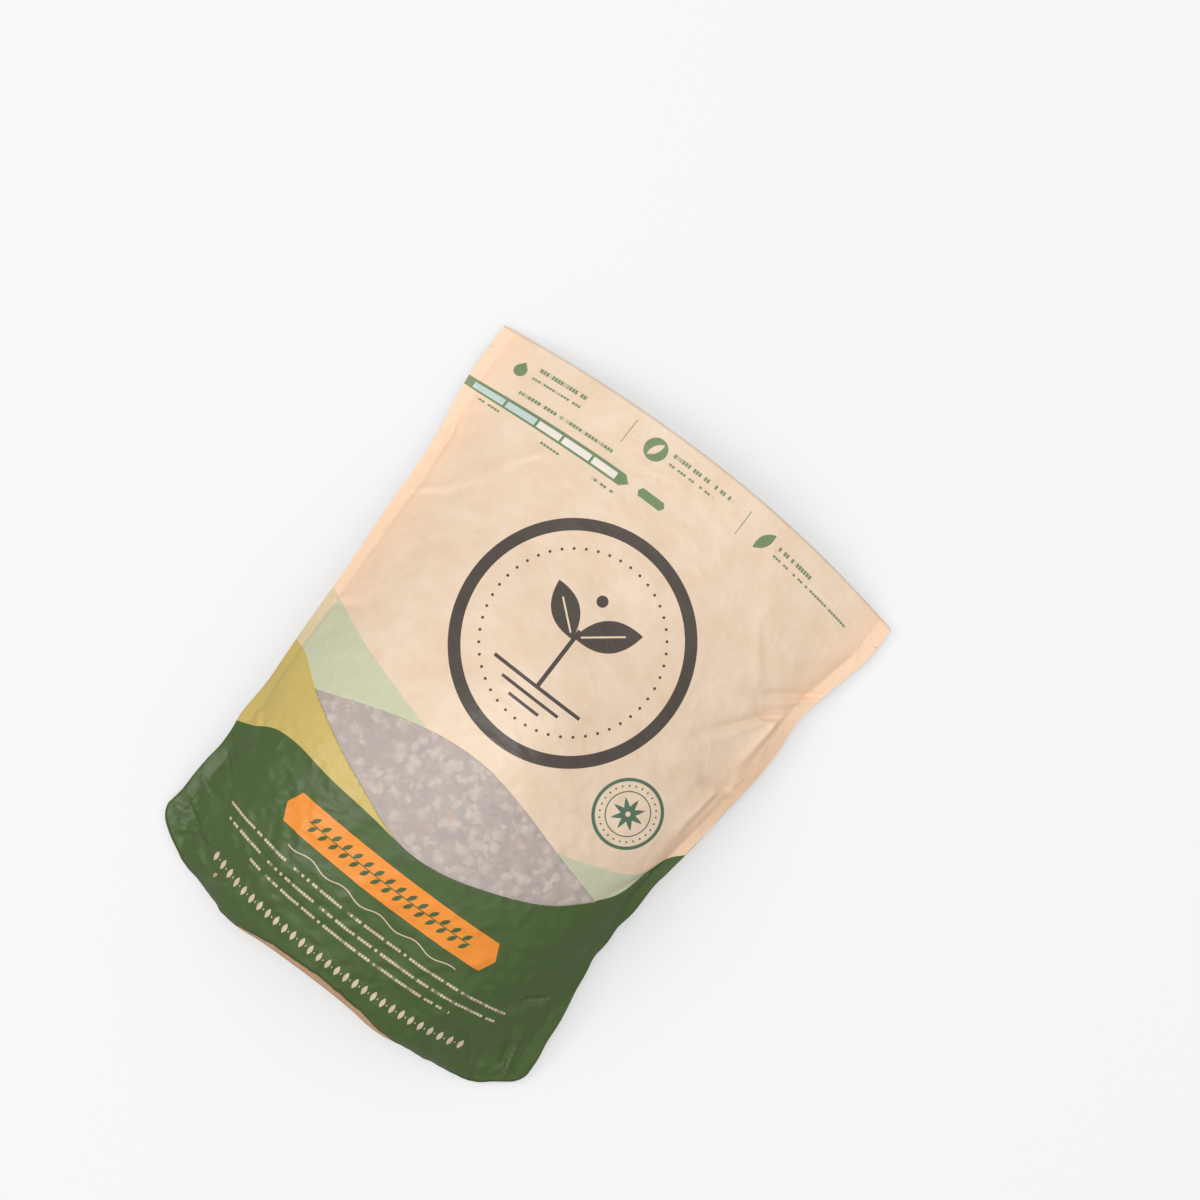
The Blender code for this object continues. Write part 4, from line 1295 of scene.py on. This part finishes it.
def zip_plastic():
    """Extruded polyethylene: milky, soft and slightly glossy."""
    material, tree, shader = new_material("extruded_polyethylene")
    spot = place_in_mm(tree)
    haze = add(tree, "TexNoise", {"Vector": spot, "Scale": 0.2, "Detail": 3.0})
    milky = {"Fac": haze.outputs["Fac"], "Color1": srgb("#E4D9CC"), "Color2": srgb("#F0E8DE")}
    colour = add(tree, "MixRGB", milky)
    tree.links.new(colour.outputs[0], shader.inputs["Base Color"])
    shader.inputs["Roughness"].default_value = 0.32
    lines = add(tree, "TexNoise", {"Vector": spot, "Scale": 1.2, "Detail": 2.0})
    ribs = {"Height": lines.outputs["Fac"], "Strength": 0.2, "Distance": 0.3 * MM}
    bump = add(tree, "Bump", ribs)
    tree.links.new(bump.outputs[0], shader.inputs["Normal"])
    return material


# Edges of the printed fields, as curves over the bag's width, in millimetres
PALE_LINE = ((-130, 6), (-103.5, -4.2), (-72, -14.2), (-55, -18.4), (-34.7, -23.2), (0, -30),
             (40, -33), (55, -33.4), (76.7, -27.8), (95.2, -19.4), (100, -12.9), (109, -2),
             (130, 18))
OLIVE_LINE = ((-130, -30), (-112, -32.5), (-103, -34.5), (-95, -39.5), (-87.6, -43.9), (-76, -49.0),
              (-57, -57.6), (-36, -65.6), (-9, -76.0), (20, -110), (130, -130))
DARK_LINE = ((-130, -88), (-112, -84), (-102.6, -79.7), (-92.4, -72.9), (-79.2, -70.5),
             (-55, -72.3), (-27.8, -73.6), (-9, -75.4), (12.4, -74.2), (41.3, -66.9),
             (57, -61.4), (70, -54.6), (85.9, -42), (94.9, -28.7), (97.5, -17.7), (101, -7.8),
             (108.7, 1.2), (130, 22))


# Where the print begins to bow with the mouth and to sag with the corners, over which length each
# grows, and the share of the corners' set-back that the print takes on
PRINT_BOW_FROM, PRINT_BOW_OVER = 100 * MM, 30 * MM
PRINT_SAG_FROM, PRINT_SAG_OVER = -90 * MM, 50 * MM
PRINT_SAG_SHARE = 0.75


def field_edges(piece):
    """Stores how far each vertex lies above the printed fields' edges, and its place on the print.

    The print bows with the mouth at the top and with the corners at the foot.
    """
    places = np.zeros(len(piece.data.vertices) * 3)
    piece.data.vertices.foreach_get("co", places)
    places = places.reshape(-1, 3)
    lines = {"pale_field": PALE_LINE, "olive_field": OLIVE_LINE, "dark_field": DARK_LINE}
    for name, line in lines.items():
        edge = smooth_through(line, places[:, 0])
        keep_values(piece, name, (places[:, 1] - edge) / MM)
    x, y = places[:, 0], places[:, 1]
    bow = np.where(x < 0, LEFT_MOUTH_BOW, RIGHT_MOUTH_BOW) * (x / MOUTH_HALF_WIDTH) ** 2
    bow = bow * ease_between(((0, 0), (1, 1)), (y - PRINT_BOW_FROM) / PRINT_BOW_OVER)
    sag = CORNER_SET_BACK * (x / FOOT_HALF_WIDTH) ** CORNER_POWER
    lower = (PRINT_SAG_FROM - y) / PRINT_SAG_OVER
    sag = sag * ease_between(((0, 0), (1, PRINT_SAG_SHARE)), lower)
    layer = piece.data.attributes.new("print_place", "FLOAT_VECTOR", "POINT")
    on_print = np.stack((x, y + bow - sag, 0 * x), -1) / MM
    layer.data.foreach_set("vector", on_print.astype(np.float32).ravel())


FLOOR_SIZE = 40
FLOOR_DROP = 0.2 * MM
FLOOR_GLOW_SHARE = 0.45


def make_floor():
    """A plain pale floor; the camera sees it nearly white, with the bag's shadow on it."""
    bpy.ops.mesh.primitive_plane_add(size=FLOOR_SIZE, location=(0, 0, -FLOOR_DROP))
    floor = bpy.context.object
    floor.name = "floor"
    material, tree, shader = new_material("matte_white_paint")
    shader.inputs["Roughness"].default_value = 0.95
    shader.inputs["Specular IOR Level"].default_value = 0.1
    even = add(tree, "Emission", {"Color": srgb("#F8F8F8"), "Strength": 1.0})
    camera_ray = add(tree, "LightPath").outputs["Is Camera Ray"]
    seen = add(tree, "Math", (camera_ray, FLOOR_GLOW_SHARE), operation="MULTIPLY")
    tones = {"Fac": camera_ray, "Color1": srgb("#A0A0A0"), "Color2": srgb("#F4F4F4")}
    tone = add(tree, "MixRGB", tones)
    tree.links.new(tone.outputs[0], shader.inputs["Base Color"])
    blend = add(tree, "MixShader", (seen, shader, even))
    tree.links.new(blend.outputs[0], tree.nodes["Material Output"].inputs["Surface"])
    floor.data.materials.append(material)


def make_camera():
    """Straight down, turned so that the bag leans as in the photograph."""
    bpy.ops.object.camera_add(location=(*PICTURE_CENTRE, CAMERA_HEIGHT),
                              rotation=(0, 0, math.radians(CAMERA_LEAN)))
    camera = bpy.context.object
    camera.data.sensor_width = 36
    camera.data.lens = CAMERA_LENS
    bpy.context.scene.camera = camera


# How far below the picture's centre the lamps aim, on the bag
LAMP_AIM_DROP = 0.05


def make_lamp(aside, upward, height, size, energy):
    """A round soft lamp aimed at the bag, placed as it would lie in the picture.

    Places and sizes are in metres, the energy in watts.
    """
    turn = math.radians(CAMERA_LEAN)
    x = PICTURE_CENTRE[0] + aside * math.cos(turn) - upward * math.sin(turn)
    y = PICTURE_CENTRE[1] + aside * math.sin(turn) + upward * math.cos(turn)
    bpy.ops.object.light_add(type="AREA", location=(x, y, height))
    lamp = bpy.context.object
    lamp.data.shape = "DISK"
    lamp.data.size = size
    lamp.data.energy = energy
    towards = Vector((PICTURE_CENTRE[0], PICTURE_CENTRE[1] - LAMP_AIM_DROP, 0)) - lamp.location
    lamp.rotation_euler = towards.to_track_quat("-Z", "Y").to_euler()


# Strength of the surround: at the horizon, overhead, and as the camera sees it
HORIZON_GLOW = 0.12
OVERHEAD_GLOW = 1.05
SEEN_GLOW = 0.95


def make_lights():
    """A pale surround, brightest overhead, a soft lamp above and a weaker one low at the left."""
    world = bpy.data.worlds.new("surround")
    bpy.context.scene.world = world
    world.use_nodes = True
    tree = world.node_tree
    height = add(tree, "SeparateXYZ", [add(tree, "TexCoord").outputs["Generated"]]).outputs[2]
    glow = add(tree, "MapRange", {"Value": height, "To Min": HORIZON_GLOW, "To Max": OVERHEAD_GLOW})
    camera_ray = add(tree, "LightPath").outputs["Is Camera Ray"]
    seen = (SEEN_GLOW, SEEN_GLOW, SEEN_GLOW, 1)
    strength = add(tree, "MixRGB", {"Fac": camera_ray, "Color1": glow.outputs[0], "Color2": seen})
    tree.links.new(strength.outputs[0], tree.nodes["Background"].inputs["Strength"])
    tree.nodes["Background"].inputs["Color"].default_value = (1, 1, 1, 1)
    make_lamp(aside=0.0, upward=0.5, height=2.9, size=1.0, energy=17)
    make_lamp(aside=-2.1, upward=0.2, height=1.7, size=1.4, energy=13)


bpy.context.scene.view_settings.view_transform = "Standard"
make_camera()
make_lights()
make_floor()

inside_film = plain_film("sealing_layer_polyethylene", "#E2C9AB", 0.5)
front = make_front(kraft_film(True), inside_film)
field_edges(front)
make_back(kraft_film(False), inside_film)
make_gusset(plain_film("unprinted_tan_laminate", "#C9A37E", 0.5))
make_window(hazy_film())
strip_plastic = zip_plastic()
make_zip("zip_rib_front", front_base, "zip_strip_front", -1, strip_plastic)
make_zip("zip_rib_back", back_base, "zip_strip_back", 1, strip_plastic)
make_mix_bed(bed_material())
# Each kind of grain: its name, shapes and material, its shares under the window and on the slope,
# its smallest and largest half size in millimetres, and how far it tilts
scatter_grains((
    ("pumice_grains", grain_shapes(1.25, 0.8, 0.45, 6, 2), grain_material(
        "porous_pumice", ("#C6B9A9", "#DFD2C0", "#EFE6D6"), 0.55, 0.3), (26, 46), 1.8, 4.2, 0.5),
    ("clay_grains", grain_shapes(1.15, 0.85, 0.4, 5, 9), grain_material(
        "baked_clay_granules", ("#B77E55", "#CB976B", "#D9AF85"), 0.4, 0.2), (12, 24), 1.0, 2.4, 0.6),
    ("lava_grains", grain_shapes(1.2, 0.85, 0.55, 5, 17), grain_material(
        "scoria_lava_rock", ("#6A5E56", "#8C7C72", "#AD9B8E"), 0.6, 0.4), (48, 20), 1.4, 3.4, 0.6),
    ("bark_chips", grain_shapes(3.4, 0.45, 0.3, 5, 31), grain_material(
        "coconut_husk_chips", ("#7B5636", "#A5764C", "#C2986A"), 0.5, 0.2), (8, 10), 0.9, 1.9, 0.35),
))
